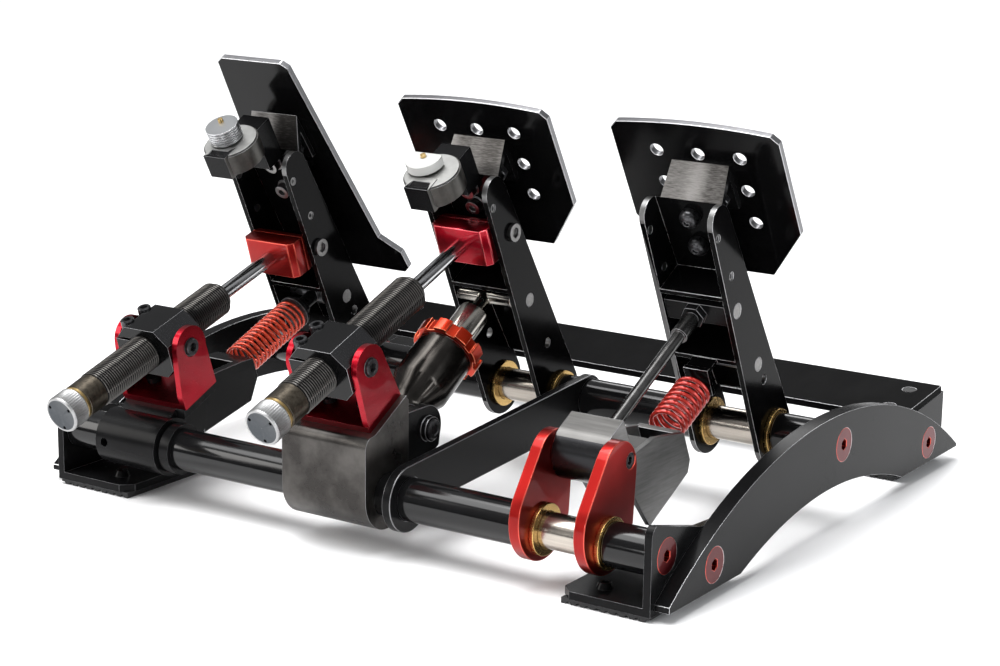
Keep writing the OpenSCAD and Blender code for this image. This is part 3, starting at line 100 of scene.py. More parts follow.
class Finish:
    """A surface finish that is built up node by node."""

    def __init__(self, name, **fixed):
        self.material = bpy.data.materials.new(name)
        self.material.use_nodes = True
        self.tree = self.material.node_tree
        self.surface = self.tree.nodes["Principled BSDF"]
        for socket, value in fixed.items():
            self.surface.inputs[socket.replace("_", " ")].default_value = value

    def node(self, kind, settings=None, *inputs, out=0, **named):
        made = self.tree.nodes.new(kind)
        for key, value in (settings or {}).items():
            setattr(made, key, value)
        for place, value in list(enumerate(inputs)) + list(named.items()):
            target = made.inputs[place if isinstance(place, int) else place.replace("_", " ")]
            if isinstance(value, Socket):
                self.tree.links.new(value.socket, target)
            else:
                target.default_value = value
        return Socket(self, made.outputs[out])

    def place(self, stretch):
        """The piece's own coordinates, in metres, stretched."""
        at = self.node("ShaderNodeTexCoord", out="Object")
        return self.node("ShaderNodeMapping", None, at, Scale=stretch)

    def noise(self, scale, detail=3.0, rough=0.6, stretch=(1, 1, 1)):
        return self.node("ShaderNodeTexNoise", None, Vector=self.place(stretch),
                         Scale=scale, Detail=detail, Roughness=rough)

    def blend(self, share, first, second):
        """A colour between two others."""
        made = self.tree.nodes.new("ShaderNodeMix")
        made.data_type = "RGBA"
        for socket, value in ((0, share), (6, first), (7, second)):
            if isinstance(value, Socket):
                self.tree.links.new(value.socket, made.inputs[socket])
            else:
                made.inputs[socket].default_value = value
        return Socket(self, made.outputs[2])

    def bump(self, height, strength, distance=0.0002):
        made = self.node("ShaderNodeBump", None, Height=height, Strength=strength, Distance=distance)
        self.tree.links.new(made.socket, self.surface.inputs["Normal"])

    def set(self, **sockets):
        for name, value in sockets.items():
            self.tree.links.new(value.socket, self.surface.inputs[name.replace("_", " ")])
        return self.material


bpy.context.scene.view_settings.view_transform = "Standard"
paper = Finish("pale_floor", Specular_IOR_Level=0.1, Base_Color=(0.94, 0.94, 0.945, 1))
paper.set(Roughness=paper.noise(3.0) * 0.1 + 0.8)
bpy.ops.mesh.primitive_plane_add(size=30, location=(0, 0, 0))
floor = bpy.context.object
floor.name = "studio_floor"
floor.data.materials.append(paper.material)

sky = bpy.data.worlds.new("studio")
sky.use_nodes = True
nodes, links = sky.node_tree.nodes, sky.node_tree.links
nodes["Background"].inputs["Color"].default_value = (0.93, 0.94, 0.96, 1)
direction, split = nodes.new("ShaderNodeTexCoord"), nodes.new("ShaderNodeSeparateXYZ")
fade = nodes.new("ShaderNodeMapRange")
for socket, value in (("From Min", 0.05), ("From Max", 0.75), ("To Min", 0.05), ("To Max", 0.42)):
    fade.inputs[socket].default_value = value
links.new(direction.outputs["Generated"], split.inputs["Vector"])
links.new(split.outputs["Z"], fade.inputs["Value"])
links.new(fade.outputs["Result"], nodes["Background"].inputs["Strength"])
bpy.context.scene.world = sky


def soft_box(name, at, aim, size, power, tint=(1, 1, 1)):
    light = bpy.data.lights.new(name, "AREA")
    light.shape, light.size, light.size_y = "RECTANGLE", size[0], size[1]
    light.energy, light.color = power, tint
    lamp = bpy.data.objects.new(name, light)
    bpy.context.collection.objects.link(lamp)
    lamp.location = at
    lamp.rotation_euler = (Vector(aim) - Vector(at)).to_track_quat("-Z", "Y").to_euler()


high_sun = bpy.data.lights.new("high_sun", "SUN")
high_sun.energy, high_sun.angle = 2.65, math.radians(50)
high_lamp = bpy.data.objects.new("high_sun", high_sun)
high_lamp.rotation_euler = (math.radians(-14), math.radians(16), 0)
bpy.context.collection.objects.link(high_lamp)
soft_box("top_box", (0.15, 0.25, 1.5), (0, 0, 0.05), (1.1, 0.7), 13)
soft_box("left_box", (1.5, 1.2, 0.9), (0, 0, 0.1), (0.8, 0.9), 12, (1.0, 0.98, 0.95))
soft_box("right_strip", (-1.7, 0.2, 0.6), (0, 0, 0.1), (0.30, 1.2), 11, (0.95, 0.98, 1.0))
soft_box("front_strip", (0.1, 1.9, 0.5), (0, 0, 0.1), (1.3, 0.16), 7)
soft_box("back_box", (0.3, -1.6, 1.1), (0, 0, 0.1), (1.4, 0.5), 8)


# Black sheet and machined parts.
# Steel and aluminium parts with a gloss or satin black coat. Their sheared and milled edges catch the
# light as thin bright lines, so each gets its edges broken, and the broken edges are coloured light grey
# metal: a painted highlight.
def black_coat(name, gloss, grain, shade=0.0045, shine=0.40):
    made = Finish(name, Metallic=0.0, Specular_IOR_Level=shine)
    cloud = made.noise(22.0, 4.0)
    speck = made.noise(2600.0, 2.0)
    smear = made.noise(60.0, 5.0, 0.7, (1.0, 0.25, 0.25))
    rough = smear.limited(0.35, 0.75) * 0.06 + gloss + speck * grain * 0.08
    colour = made.blend(cloud.limited(0.35, 0.7), (shade * 0.8, shade * 0.8, shade * 0.85, 1),
                        (shade * 1.5, shade * 1.5, shade * 1.6, 1))
    made.bump(speck, 0.25 * grain, 0.00006)
    return made.set(Base_Color=colour, Roughness=rough)


def bare_metal(name, colour, low, streak=(1, 1, 1), contrast=0.25, scale=400.0):
    made = Finish(name, Metallic=1.0)
    lines = made.noise(scale, 3.0, 0.7, streak)
    cloud = made.noise(30.0, 3.0)
    tone = lines * 0.6 + cloud * 0.4
    dark = tuple(c * (1 - contrast) for c in colour) + (1,)
    made.bump(lines, 0.12, 0.00003)
    return made.set(Base_Color=made.blend(tone.limited(0.3, 0.7), dark, tuple(colour) + (1,)),
                    Roughness=lines * 0.12 + low)


gloss_black = black_coat("gloss_black", 0.10, 0.2, 0.0020, 0.05)
satin_black = black_coat("satin_black", 0.20, 0.6, 0.0045, 0.09)
# Light grey metals for the broken edges of black parts: painted highlights where the edges catch the light.
edge_highlight = bare_metal("edge_highlight", (0.78, 0.78, 0.80), 0.22)
soft_edge_highlight = bare_metal("soft_edge_highlight", (0.30, 0.30, 0.31), 0.28)
# Grey for the arms' flange edges and hole walls: a painted highlight.
flange_rim_highlight = bare_metal("flange_rim_highlight", (0.20, 0.20, 0.20), 0.32, (1, 1, 1), 0.4, 260.0)
polished_steel = bare_metal("polished_steel", (0.56, 0.51, 0.45), 0.13, (0.15, 6.0, 6.0), 0.35, 160.0)
screw_steel = bare_metal("screw_steel", (0.26, 0.255, 0.25), 0.26, (1, 1, 1), 0.5, 600.0)
bodies = frame["record"]["behaviour"]["bodies"]
body_of_node = {node: body for body, nodes in bodies.items() for node in nodes}


def finished_copy(node, *materials, edge=0.0003, angle=32, steps=2, smooth=38, name=None):
    """A copy of a solid with its edges broken. The last material is that of the broken edges; on coated and
    dyed parts it is a lighter colour than the faces: a painted highlight.
    """
    bpy.ops.object.select_all(action="DESELECT")
    piece = bpy.data.objects.new(name or node + "_finished", frame["nodes"][node].data.copy())
    bpy.context.collection.objects.link(piece)
    bpy.context.view_layer.objects.active = piece
    piece.select_set(True)
    piece.data.materials.clear()
    for material in materials:
        piece.data.materials.append(material)
    shape = bmesh.new()
    shape.from_mesh(piece.data)
    bmesh.ops.remove_doubles(shape, verts=shape.verts, dist=0.000004)
    bmesh.ops.dissolve_limit(shape, angle_limit=math.radians(0.4), verts=shape.verts, edges=shape.edges)
    for face in shape.faces:
        face.material_index = 0
    shape.to_mesh(piece.data)
    shape.free()
    if edge:
        bevel = piece.modifiers.new("broken_edge", "BEVEL")
        bevel.width, bevel.segments, bevel.limit_method = edge, steps, "ANGLE"
        bevel.angle_limit = math.radians(angle)
        bevel.material = len(materials) - 1
        bevel.use_clamp_overlap = True
        bpy.ops.object.modifier_apply(modifier=bevel.name)
    bpy.ops.object.shade_smooth_by_angle(angle=math.radians(smooth))
    even = piece.modifiers.new("even_normals", "WEIGHTED_NORMAL")
    even.keep_sharp = True
    bpy.ops.object.modifier_apply(modifier=even.name)
    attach(piece, body_of_node[node])
    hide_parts(node)
    return piece


for node in ("side_arch_left", "side_arch_right"):
    finished_copy(node, satin_black, edge_highlight, edge=0.0005)
for node in ("front_foot_left", "front_foot_right", "rear_feet"):
    finished_copy(node, satin_black, soft_edge_highlight, edge=0.0006)
for node in ("brace_bar", "throttle_mount", "throttle_spring_block", "brake_clevis"):
    finished_copy(node, satin_black, soft_edge_highlight, edge=0.0004)


# Heel plate.
# A black plate across the rear feet, with a light grain, and its broken edges coloured light: a painted
# highlight.
grained_black = black_coat("grained_black", 0.42, 0.8, 0.0022, 0.012)
finished_copy("heel_plate", grained_black, edge_highlight, edge=0.0005)


# Shafts and sleeves.
# Ground steel shafts run through black sleeves. The steel shows only where a pedal or link turns on it.
for node in ("front_shaft", "pedal_axle"):
    finished_copy(node, polished_steel, polished_steel, edge=0.0004)
sleeve_black = black_coat("sleeve_black", 0.09, 0.2, 0.004)
for node in ("front_sleeves", "axle_sleeves"):
    finished_copy(node, sleeve_black, soft_edge_highlight, edge=0.0004)


# Bushes.
# Gold-coloured flanged bearings pressed into the arms and links.
gold_metal = bare_metal("gold_metal", (0.72, 0.47, 0.17), 0.20, (1, 1, 1), 0.25, 500.0)
for node in ("throttle_bushes", "brake_bushes", "clutch_bushes", "clutch_link_bushes"):
    finished_copy(node, gold_metal, gold_metal, edge=0.0004)


# Foot rubbers.
# Black rubber strips with saw-cut teeth, glued under the feet.
rubber = Finish("foot_rubber", Base_Color=(0.018, 0.018, 0.019, 1))
dust = rubber.noise(900.0, 4.0)
rubber.bump(dust, 0.4, 0.0001)
rubber.set(Roughness=dust * 0.25 + 0.62)
finished_copy("foot_pads", rubber.material, rubber.material, edge=0.0002)


# Red parts.
# Turned and milled aluminium, anodised in crimson or orange-red, with lighter red edges: a painted
# highlight.
def red_dye(name, colour, low=0.24, gleam=1.0):
    made = Finish(name, Metallic=gleam, Coat_Weight=0.25)
    grain = made.noise(1500.0, 2.0)
    cloud = made.noise(45.0, 3.0)
    deep = tuple(c * 0.72 for c in colour) + (1,)
    made.bump(grain, 0.15, 0.00003)
    return made.set(Base_Color=made.blend(cloud.limited(0.3, 0.7), deep, tuple(colour) + (1,)),
                    Roughness=grain * 0.10 + low)


crimson = red_dye("crimson_dye", (0.40, 0.006, 0.018))
# Lighter reds for the broken edges: painted highlights.
crimson_edge_highlight = red_dye("crimson_edge_highlight", (0.80, 0.11, 0.13), 0.18)
scarlet = red_dye("scarlet_dye", (0.34, 0.013, 0.011), 0.30)
scarlet_edge_highlight = red_dye("scarlet_edge_highlight", (0.72, 0.10, 0.07), 0.24)
orange_dye = red_dye("orange_dye", (0.62, 0.040, 0.014), 0.26)
orange_edge_highlight = red_dye("orange_edge_highlight", (0.90, 0.20, 0.10), 0.20)
screw_red = red_dye("screw_red", (0.105, 0.006, 0.008), 0.34)
finished_copy("red_screws", screw_red, scarlet_edge_highlight, edge=0.0003)
finished_copy("brake_fork", crimson, crimson_edge_highlight, edge=0.0005)
finished_copy("throttle_fork", crimson, crimson_edge_highlight, edge=0.0005)
finished_copy("clutch_links", scarlet, scarlet_edge_highlight, edge=0.0007)
finished_copy("brake_adjuster_ring", orange_dye, orange_edge_highlight, edge=0.0006)


# Brake mount block and clutch coupler.
# The mount block has a mottled satin grey coat and rounded edges. The coupler is milled bright where its
# rod enters, black round its barrel, and brushed on the cheeks that hold the spring.
arm_x = {"throttle": 0.133, "brake": 0.0, "clutch": -0.133}


def recoat(piece, index, wanted):
    for face in piece.data.polygons:
        if face.material_index == 0 and wanted(face.center, face.normal):
            face.material_index = index


mottled = Finish("mottled_grey", Metallic=0.85)
patches = mottled.noise(38.0, 5.0, 0.6)
grit = mottled.noise(1200.0, 2.0)
mottled.bump(grit, 0.35, 0.0001)
mottled_grey = mottled.set(
    Base_Color=mottled.blend(patches.limited(0.38, 0.68), (0.036, 0.033, 0.031, 1),
                             (0.100, 0.094, 0.088, 1)),
    Roughness=patches * 0.14 + 0.22)
finished_copy("brake_mount_block", mottled_grey, soft_edge_highlight, edge=0.0012, steps=3)
barrel_dark = bare_metal("barrel_dark", (0.034, 0.034, 0.036), 0.20, (0.3, 1.0, 1.0), 0.5, 60.0)
milled_grey = bare_metal("milled_grey", (0.135, 0.132, 0.128), 0.30, (0.12, 2.0, 2.0), 0.5, 240.0)
bracket_grey = bare_metal("bracket_grey", (0.34, 0.335, 0.33), 0.42, (1.0, 0.15, 2.0), 0.45, 300.0)
coupler = finished_copy("clutch_coupler", milled_grey, barrel_dark, bracket_grey, soft_edge_highlight, edge=0.0006,
                        smooth=20)
recoat(coupler, 2, lambda at, n: abs(n.x) > 0.9)
barrel_from, barrel_to = -110, 38
recoat(coupler, 1, lambda at, n: abs(n.x) < 0.3
       and barrel_from < math.degrees(math.atan2(n.z, n.y)) < barrel_to)


# Pedal arms and pads.
# Bent steel channels and thick flat pads, coated in gloss black. The edge faces and hole walls of the
# arm flanges and pads are coloured grey metal as painted highlights, and the brackets show a brushed
# slope between arm and pad.
flange_outside = 0.0178
for pedal, x in arm_x.items():
    arm = finished_copy(pedal + "_arm", gloss_black, flange_rim_highlight, edge_highlight, edge=0.0003)
    # The flange edges and hole walls take the grey rim colour: a painted highlight.
    recoat(arm, 1, lambda at, n: abs(n.x) < 0.2 and abs(at.x - x) > flange_outside)
pad_black = black_coat("pad_black", 0.09, 0.15, 0.002, 0.14)
# Grey for the pads' side faces and hole walls: a painted highlight.
pad_rim_highlight = bare_metal("pad_rim_highlight", (0.26, 0.26, 0.27), 0.28, (1, 1, 1), 0.3, 300.0)
for pedal, lean in (("throttle", 33), ("brake", 30), ("clutch", 30)):
    facing = Vector((0, -math.cos(math.radians(lean)), math.sin(math.radians(lean))))
    pad = finished_copy(pedal + "_pad", pad_black, pad_rim_highlight, edge_highlight, edge=0.0006)
    # The pad's side faces and hole walls take the grey rim colour: a painted highlight.
    recoat(pad, 1, lambda at, n: abs(n.dot(facing)) < 0.3)
brushed_facet = Finish("brushed_facet", Metallic=0.9)
brush = brushed_facet.noise(240.0, 3.0, 0.7, (1.0, 9.0, 9.0))
bands = brushed_facet.noise(55.0, 1.0, 0.4, (1.0, 0.02, 0.02))
brushed_facet.bump(brush, 0.15, 0.00004)
brushed_facet.set(
    Base_Color=brushed_facet.blend((brush * 0.35 + bands * 0.65).limited(0.40, 0.62),
                                   (0.060, 0.056, 0.053, 1), (0.30, 0.29, 0.28, 1)),
    Roughness=brush * 0.15 + 0.28)
fold_low = 0.170
for pedal in arm_x:
    bracket = finished_copy(pedal + "_pad_bracket", satin_black, brushed_facet.material, soft_edge_highlight,
                            edge=0.0004)
    recoat(bracket, 1, lambda at, n: n.y > 0.1 and n.z > 0.4 or n.y > 0.9 and at.z > fold_low)


# Fasteners.
# Socket screws, nuts and pins with a black oxide skin, and the drawn rod that the clutch pushes, which
# has a black cross block and nut between the arm's flanges.
oxide = Finish("black_oxide", Metallic=0.85)
wear = oxide.noise(500.0, 3.0)
oxide.bump(wear, 0.2, 0.00004)
black_oxide = oxide.set(
    Base_Color=oxide.blend(wear.limited(0.35, 0.75), (0.030, 0.030, 0.032, 1), (0.10, 0.10, 0.105, 1)),
    Roughness=wear * 0.15 + 0.22)
finished_copy("base_bolts", satin_black, black_oxide, edge=0.0003)
finished_copy("clutch_link_pins", black_oxide, soft_edge_highlight, edge=0.0003)
drawn_rod = bare_metal("drawn_rod", (0.17, 0.168, 0.165), 0.18, (1, 1, 1), 0.5, 200.0)
push_rod = finished_copy("clutch_push_rod", drawn_rod, satin_black, soft_edge_highlight, edge=0.0004)
block_end, block_reach = 0.0170, 0.0125
ends = [face.center for face in push_rod.data.polygons if abs(face.center.x - arm_x["clutch"]) > block_end]
cross = sum(ends, Vector()) / len(ends)
recoat(push_rod, 1, lambda at, n: math.hypot(at.y - cross.y, at.z - cross.z) < block_reach)
set_y = 0.1250073
axle_at = Vector((-0.169 + set_y, 0.0444))
arm_up = Vector((0.483282, 0.875465))


def in_arm(at):
    """How far a point is up the arm from the axle, and how far in front of the arm's centre line."""
    away = Vector((at.y, at.z)) - axle_at
    return away.dot(arm_up), away.x * arm_up.y - away.y * arm_up.x


flange_inside, web_screw_half, web_screws_from, web_back = 0.0176, 0.008, 0.108, -0.0095
for pedal, x in arm_x.items():
    screws = finished_copy(pedal + "_fasteners", black_oxide, screw_steel, soft_edge_highlight, edge=0.0003)
    recoat(screws, 1, lambda at, n: abs(at.x - x) > flange_inside)
    if pedal != "clutch":
        recoat(screws, 1, lambda at, n: abs(at.x - x) < web_screw_half
               and in_arm(at)[0] > web_screws_from and in_arm(at)[1] > web_back)


# Vibration motors.
# A flat can with a light top, held by a black clip, with an eccentric weight on its shaft: a ribbed
# steel stack on the throttle, a white half-moon on the brake.
can_side = bare_metal("can_side", (0.125, 0.120, 0.112), 0.30, (1, 1, 1), 0.35, 240.0)
can_top = bare_metal("can_top", (0.36, 0.36, 0.35), 0.36, (1, 1, 1), 0.2, 300.0)
brass = bare_metal("brass_pin", (0.70, 0.50, 0.22), 0.20, (1, 1, 1), 0.2, 500.0)
can_r, can_h, can_ahead = 0.0155, 0.013, 0.019
shaft_side, shaft_back, shaft_r = 0.0052, 0.0035, 0.0017
clip_half_w, clip_from, carrier_half_w, carrier_from = 0.0077, 0.0125, 0.0092, -0.0105
for pedal, low in (("throttle", 0.156), ("brake", 0.1525)):
    motor = finished_copy(pedal + "_motor", satin_black, can_side, can_top, brass, soft_edge_highlight, edge=0.0003)
    for face in motor.data.polygons:
        up_arm, ahead = in_arm(face.center)
        side, ahead, rise = face.center.x - arm_x[pedal], ahead - can_ahead, up_arm - low
        on_clip = abs(side) < clip_half_w and ahead > clip_from
        on_carrier = abs(side) < carrier_half_w and ahead < carrier_from
        if math.hypot(side - shaft_side, ahead + shaft_back) < shaft_r and rise > can_h + 0.0001:
            face.material_index = 3
        elif face.material_index == 0 and not on_clip and not on_carrier and rise > -0.001:
            if math.hypot(side, ahead) > can_r - 0.0003 or abs(rise - can_h / 2) < can_h / 2 - 0.0001:
                face.material_index = 1
            elif rise > can_h - 0.0002:
                face.material_index = 2
white = Finish("white_plastic", Base_Color=(0.50, 0.50, 0.485, 1), Coat_Weight=0.1)
mark = white.noise(300.0, 3.0)
white.set(Roughness=mark * 0.15 + 0.25)
finished_copy("brake_motor_weight", white.material, can_top, edge=0.0003)
turned = bare_metal("turned_weight", (0.46, 0.47, 0.48), 0.22, (1, 1, 1), 0.1, 40.0)
# Near black for the groove bottoms between the ribs: painted shade.
groove = bare_metal("weight_groove_shade", (0.050, 0.050, 0.052), 0.4, (1, 1, 1), 0.2, 40.0)
stack = finished_copy("throttle_motor_weight", turned, groove, edge_highlight, edge=0.0001)
spots = [(face.center.x, in_arm(face.center)[1]) for face in stack.data.polygons]
middle = [(min(spot[i] for spot in spots) + max(spot[i] for spot in spots)) / 2 for i in (0, 1)]
bore_r, rib_r = 0.006, 0.0089
# The groove bottoms between the ribs take the near black: painted shade.
for face, spot in zip(stack.data.polygons, spots):
    tilt = face.normal.y * arm_up.x + face.normal.z * arm_up.y
    if abs(tilt) < 0.3 and bore_r < math.hypot(spot[0] - middle[0], spot[1] - middle[1]) < rib_r:
        face.material_index = 1


# Brake cup and plunger.
# A turned cup in gloss black that swings between the clevis plates, and a bright steel plunger on a
# black cross pin.
turned_black = bare_metal("turned_black", (0.050, 0.046, 0.042), 0.16, (1, 1, 1), 0.5, 60.0)
finished_copy("brake_cup", turned_black, soft_edge_highlight, edge=0.0006, steps=3)
chrome = bare_metal("plunger_chrome", (0.56, 0.53, 0.48), 0.10, (1, 1, 1), 0.3, 120.0)
plunger = finished_copy("brake_plunger", chrome, satin_black, chrome, edge=0.0006)
plunger_half_w = 0.0095
recoat(plunger, 1, lambda at, n: abs(at.x) > plunger_half_w)


# Dampers.
# A tube with a fine thread over its whole length, held in a split clamp that swings in the fork. A
# knurled knob closes its lower end, and its rod ends in an anodised block that turns in the arm.
def shell(name, grid, material, closed=True):
    """A tube made of rings of points, each ring closed round."""
    mesh = bpy.data.meshes.new(name)
    count = len(grid[0])
    points = [p for ring in grid for p in ring]
    faces = []
    for i in range(len(grid) - 1):
        for k in range(count):
            n = (k + 1) % count
            faces.append((i * count + k, i * count + n, (i + 1) * count + n, (i + 1) * count + k))
    if closed:
        faces.append(tuple(reversed(range(count))))
        faces.append(tuple((len(grid) - 1) * count + k for k in range(count)))
    mesh.from_pydata(points, [], faces)
    mesh.materials.append(material)
    piece = bpy.data.objects.new(name, mesh)
    bpy.context.collection.objects.link(piece)
    for face in mesh.polygons:
        face.use_smooth = True
    return piece


def climbing(at, slope, x):
    """Puts local Z up a slope towards the driver, as the solids of the dampers and springs have it."""
    return (Matrix.Translation((x, at[0], at[1]))
            @ Matrix.Rotation(math.radians(90 - slope), 4, "X"))


def placed(piece, matrix, body, *nodes):
    piece.data.transform(matrix)
    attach(piece, body)
    if nodes:
        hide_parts(*nodes)
    return piece


low_pivot = (-0.122 + set_y, 0.1184)
brake_pivot = (-0.1175 + set_y, 0.1435)
thread_crest = bare_metal("thread_crest", (0.115, 0.11, 0.105), 0.24, (1, 1, 1), 0.3, 300.0)
# Near black for the thread's roots and the knob's holes: painted shade in the recesses.
recess_shade = black_coat("recess_shade", 0.55, 0.5, 0.0025, 0.15)
collar_brown = bare_metal("collar_brown", (0.150, 0.128, 0.100), 0.30, (1, 1, 1), 0.75, 420.0)
collar_gold = bare_metal("collar_gold", (0.42, 0.30, 0.13), 0.26, (1, 1, 1), 0.3, 300.0)
knob_metal = bare_metal("knob_metal", (0.44, 0.44, 0.44), 0.34, (1, 1, 1), 0.35, 900.0)
knob_face = bare_metal("knob_face", (0.085, 0.092, 0.100), 0.34, (1, 1, 1), 0.3, 500.0)
rod_steel = bare_metal("rod_steel", (0.66, 0.66, 0.67), 0.10, (1, 1, 1), 0.2, 250.0)
clamp_black = black_coat("clamp_black", 0.12, 0.3, 0.003, 0.22)
clamp_panel = bare_metal("clamp_panel", (0.085, 0.085, 0.088), 0.20, (1, 8, 8), 0.4, 300.0)


def rings(rows, around):
    """A circle of points for each radius and height."""
    return [[(r * math.cos(2 * math.pi * k / around), r * math.sin(2 * math.pi * k / around), z)
             for k in range(around)] for r, z in rows]


def crisp(piece):
    """Sharpens the corners of a turned piece."""
    bpy.ops.object.select_all(action="DESELECT")
    piece.select_set(True)
    bpy.context.view_layer.objects.active = piece
    bpy.ops.object.shade_smooth_by_angle(angle=math.radians(30))


def threaded_tube(name):
    """A spigot, a collar with a gold band, the thread, and the end that lets the rod in."""
    pitch, crest, depth, around = 0.0015, 0.0100, 0.00095, 64
    low, high = -0.1705, -0.0685
    rows = int(round((high - low) / pitch * 6))
    spigot_r, band_r, groove_r, collar_r, bore_r = 0.0060, 0.0095, 0.0093, 0.0096, 0.0052
    grid = rings(((spigot_r, -0.1925), (spigot_r, -0.1855), (0.0092, -0.1855), (band_r, -0.1852),
                  (band_r, -0.1838), (groove_r, -0.1836), (groove_r, -0.1832), (collar_r, -0.1830),
                  (collar_r, -0.1722), (collar_r, -0.1710), (0.0092, -0.1706)), around)
    first, band_rows = len(grid), (2, 3)
    for i in range(rows + 1):
        z = low + (high - low) * i / rows
        ring = []
        for k in range(around):
            turn = k / around
            wave = abs(((z / pitch - turn) % 1.0) * 2 - 1)
            r = crest - depth * min(1.0, max(0.0, wave * 1.5 - 0.35))
            if i in (0, rows):
                r = crest - depth
            ring.append((r * math.cos(2 * math.pi * turn), r * math.sin(2 * math.pi * turn), z))
        grid.append(ring)
    last = len(grid)
    grid += rings(((0.0080, high), (0.0080, -0.0660), (0.0075, -0.0655), (bore_r, -0.0655),
                   (bore_r, -0.1400)), around)
    tube = shell(name, grid, thread_crest)
    for finish in (recess_shade, collar_brown, collar_gold):
        tube.data.materials.append(finish)
    for face in tube.data.polygons:
        row = face.index // around
        reach = math.hypot(face.center.x, face.center.y)
        if row < first:
            face.material_index = 3 if row in band_rows else 2
        # The thread's roots take the near black: painted shade.
        elif row < last and reach < crest - depth * 0.42:
            face.material_index = 1
    crisp(tube)
    return tube


def fluted_knob(name):
    """A cap with fine flutes round it and three small holes in its face."""
    around, grid = 192, []
    knob_r, face_z, open_z, axis_r, flute_depth = 0.0100, -0.1964, -0.1857, 0.0001, 0.00028
    profile = ((axis_r, face_z, 0), (0.0086, face_z, 0), (0.0088, -0.1965, 0), (0.0096, -0.1963, 0),
               (knob_r, -0.1955, 0), (knob_r, -0.1950, 1), (knob_r, -0.1872, 1), (knob_r, -0.1867, 0),
               (knob_r, -0.1863, 0), (0.0096, open_z, 0), (0.0062, open_z, 0), (0.0061, -0.1930, 0),
               (axis_r, -0.1930, 0))
    for r, z, flute in profile:
        ring = []
        for k in range(around):
            a = 2 * math.pi * k / around
            cut = flute_depth * flute if k % 4 in (1, 2) else 0.0
            ring.append(((r - cut) * math.cos(a), (r - cut) * math.sin(a), z))
        grid.append(ring)
    knob = shell(name, grid, knob_metal)
    knob.data.materials.append(knob_face)
    knob.data.materials.append(recess_shade)
    for face in knob.data.polygons:
        if face.index // around == 0:
            face.material_index = 1
    drilled, hole_r, hole_depth, hole_reach = bmesh.new(), 0.0009, 0.0030, 0.0074
    for turn in (30, 150, 270):
        turn = math.radians(turn)
        spot = (hole_reach * math.cos(turn), hole_reach * math.sin(turn), face_z)
        bmesh.ops.create_cone(drilled, cap_ends=True, segments=20, radius1=hole_r, radius2=hole_r,
                              depth=hole_depth, matrix=Matrix.Translation(spot))
    # The drilled hole walls take the near black: painted shade.
    for face in drilled.faces:
        face.material_index = 2
    mesh = bpy.data.meshes.new(name + "_holes")
    drilled.to_mesh(mesh)
    drilled.free()
    for material in knob.data.materials:
        mesh.materials.append(material)
    drill = bpy.data.objects.new(name + "_holes", mesh)
    bpy.context.collection.objects.link(drill)
    bpy.context.view_layer.objects.active = knob
    cut = knob.modifiers.new("holes", "BOOLEAN")
    cut.object, cut.operation, cut.solver = drill, "DIFFERENCE", "EXACT"
    bpy.ops.object.modifier_apply(modifier=cut.name)
    bpy.data.objects.remove(drill)
    crisp(knob)
    return knob


def prism(shape, outline, place, depth):
    """A flat outline drawn out to both sides of its plane."""
    ends = [[shape.verts.new(place(p, side * depth)) for p in outline] for side in (-1, 1)]
    shape.faces.new(ends[0])
    shape.faces.new(list(reversed(ends[1])))
    for k in range(len(outline)):
        n = (k + 1) % len(outline)
        shape.faces.new((ends[0][k], ends[1][k], ends[1][n], ends[0][n]))


def red_block(name, material, edge):
    """The block on the rod: a cube with two corners taken off, tapering to the round of its pivot."""
    half_w, half_h, neck, front, corner, eye_r = 0.01755, 0.0105, -0.0095, -0.020, 0.003, 0.0042
    shape = bmesh.new()
    prism(shape, ((-half_w, neck), (-half_w, front + corner), (-half_w + corner, front),
                  (half_w - corner, front), (half_w, front + corner), (half_w, neck)),
          lambda p, y: (p[0], y, p[1]), half_h)
    shoulder, eye = [math.radians(a) for a in range(0, 42, 6)], [math.radians(a) for a in range(42, 90, 8)]
    tail = [(half_h * math.cos(a), neck + half_h * math.sin(a)) for a in shoulder]
    tail += [(eye_r * math.cos(a), eye_r * math.sin(a)) for a in eye]
    tail += [(-y, z) for y, z in reversed(tail)]
    prism(shape, tail, lambda p, x: (x, p[0], p[1]), half_w)
    bmesh.ops.recalc_face_normals(shape, faces=shape.faces)
    mesh = bpy.data.meshes.new(name)
    shape.to_mesh(mesh)
    shape.free()
    for finish in (material, edge):
        mesh.materials.append(finish)
    piece = bpy.data.objects.new(name, mesh)
    bpy.context.collection.objects.link(piece)
    bpy.context.view_layer.objects.active = piece
    bevel = piece.modifiers.new("broken_edge", "BEVEL")
    # The bevels take the lighter red edge colour: a painted highlight.
    bevel.width, bevel.segments, bevel.limit_method, bevel.material = 0.0005, 2, "ANGLE", 1
    bpy.ops.object.modifier_apply(modifier=bevel.name)
    crisp(piece)
    return piece


dampers = (("throttle", low_pivot, 17.75, 0.1171), ("brake", brake_pivot, 20.57, 0.1351))
for name, pivot, slope, reach in dampers:
    there = climbing(pivot, slope, arm_x[name])
    dyes = (scarlet, scarlet_edge_highlight) if name == "throttle" else (crimson, crimson_edge_highlight)
    placed(red_block(name + "_block", *dyes), there, body_of_node[name + "_rod_block"], name + "_rod_block")
    tube = placed(threaded_tube(name + "_thread"), there, name + "_damper", name + "_damper_tube")
    knob = placed(fluted_knob(name + "_knob_fluted"), there, name + "_knob", name + "_damper_knob")
    clamp = finished_copy(name + "_damper_clamp", clamp_black, clamp_panel, soft_edge_highlight, edge=0.0006)
    facing = there.to_3x3() @ Vector((-1, 1, 0)).normalized()
    recoat(clamp, 1, lambda at, n: n.dot(facing) > 0.95)
    finished_copy(name + "_damper_rod", rod_steel, rod_steel, edge=0.0004)


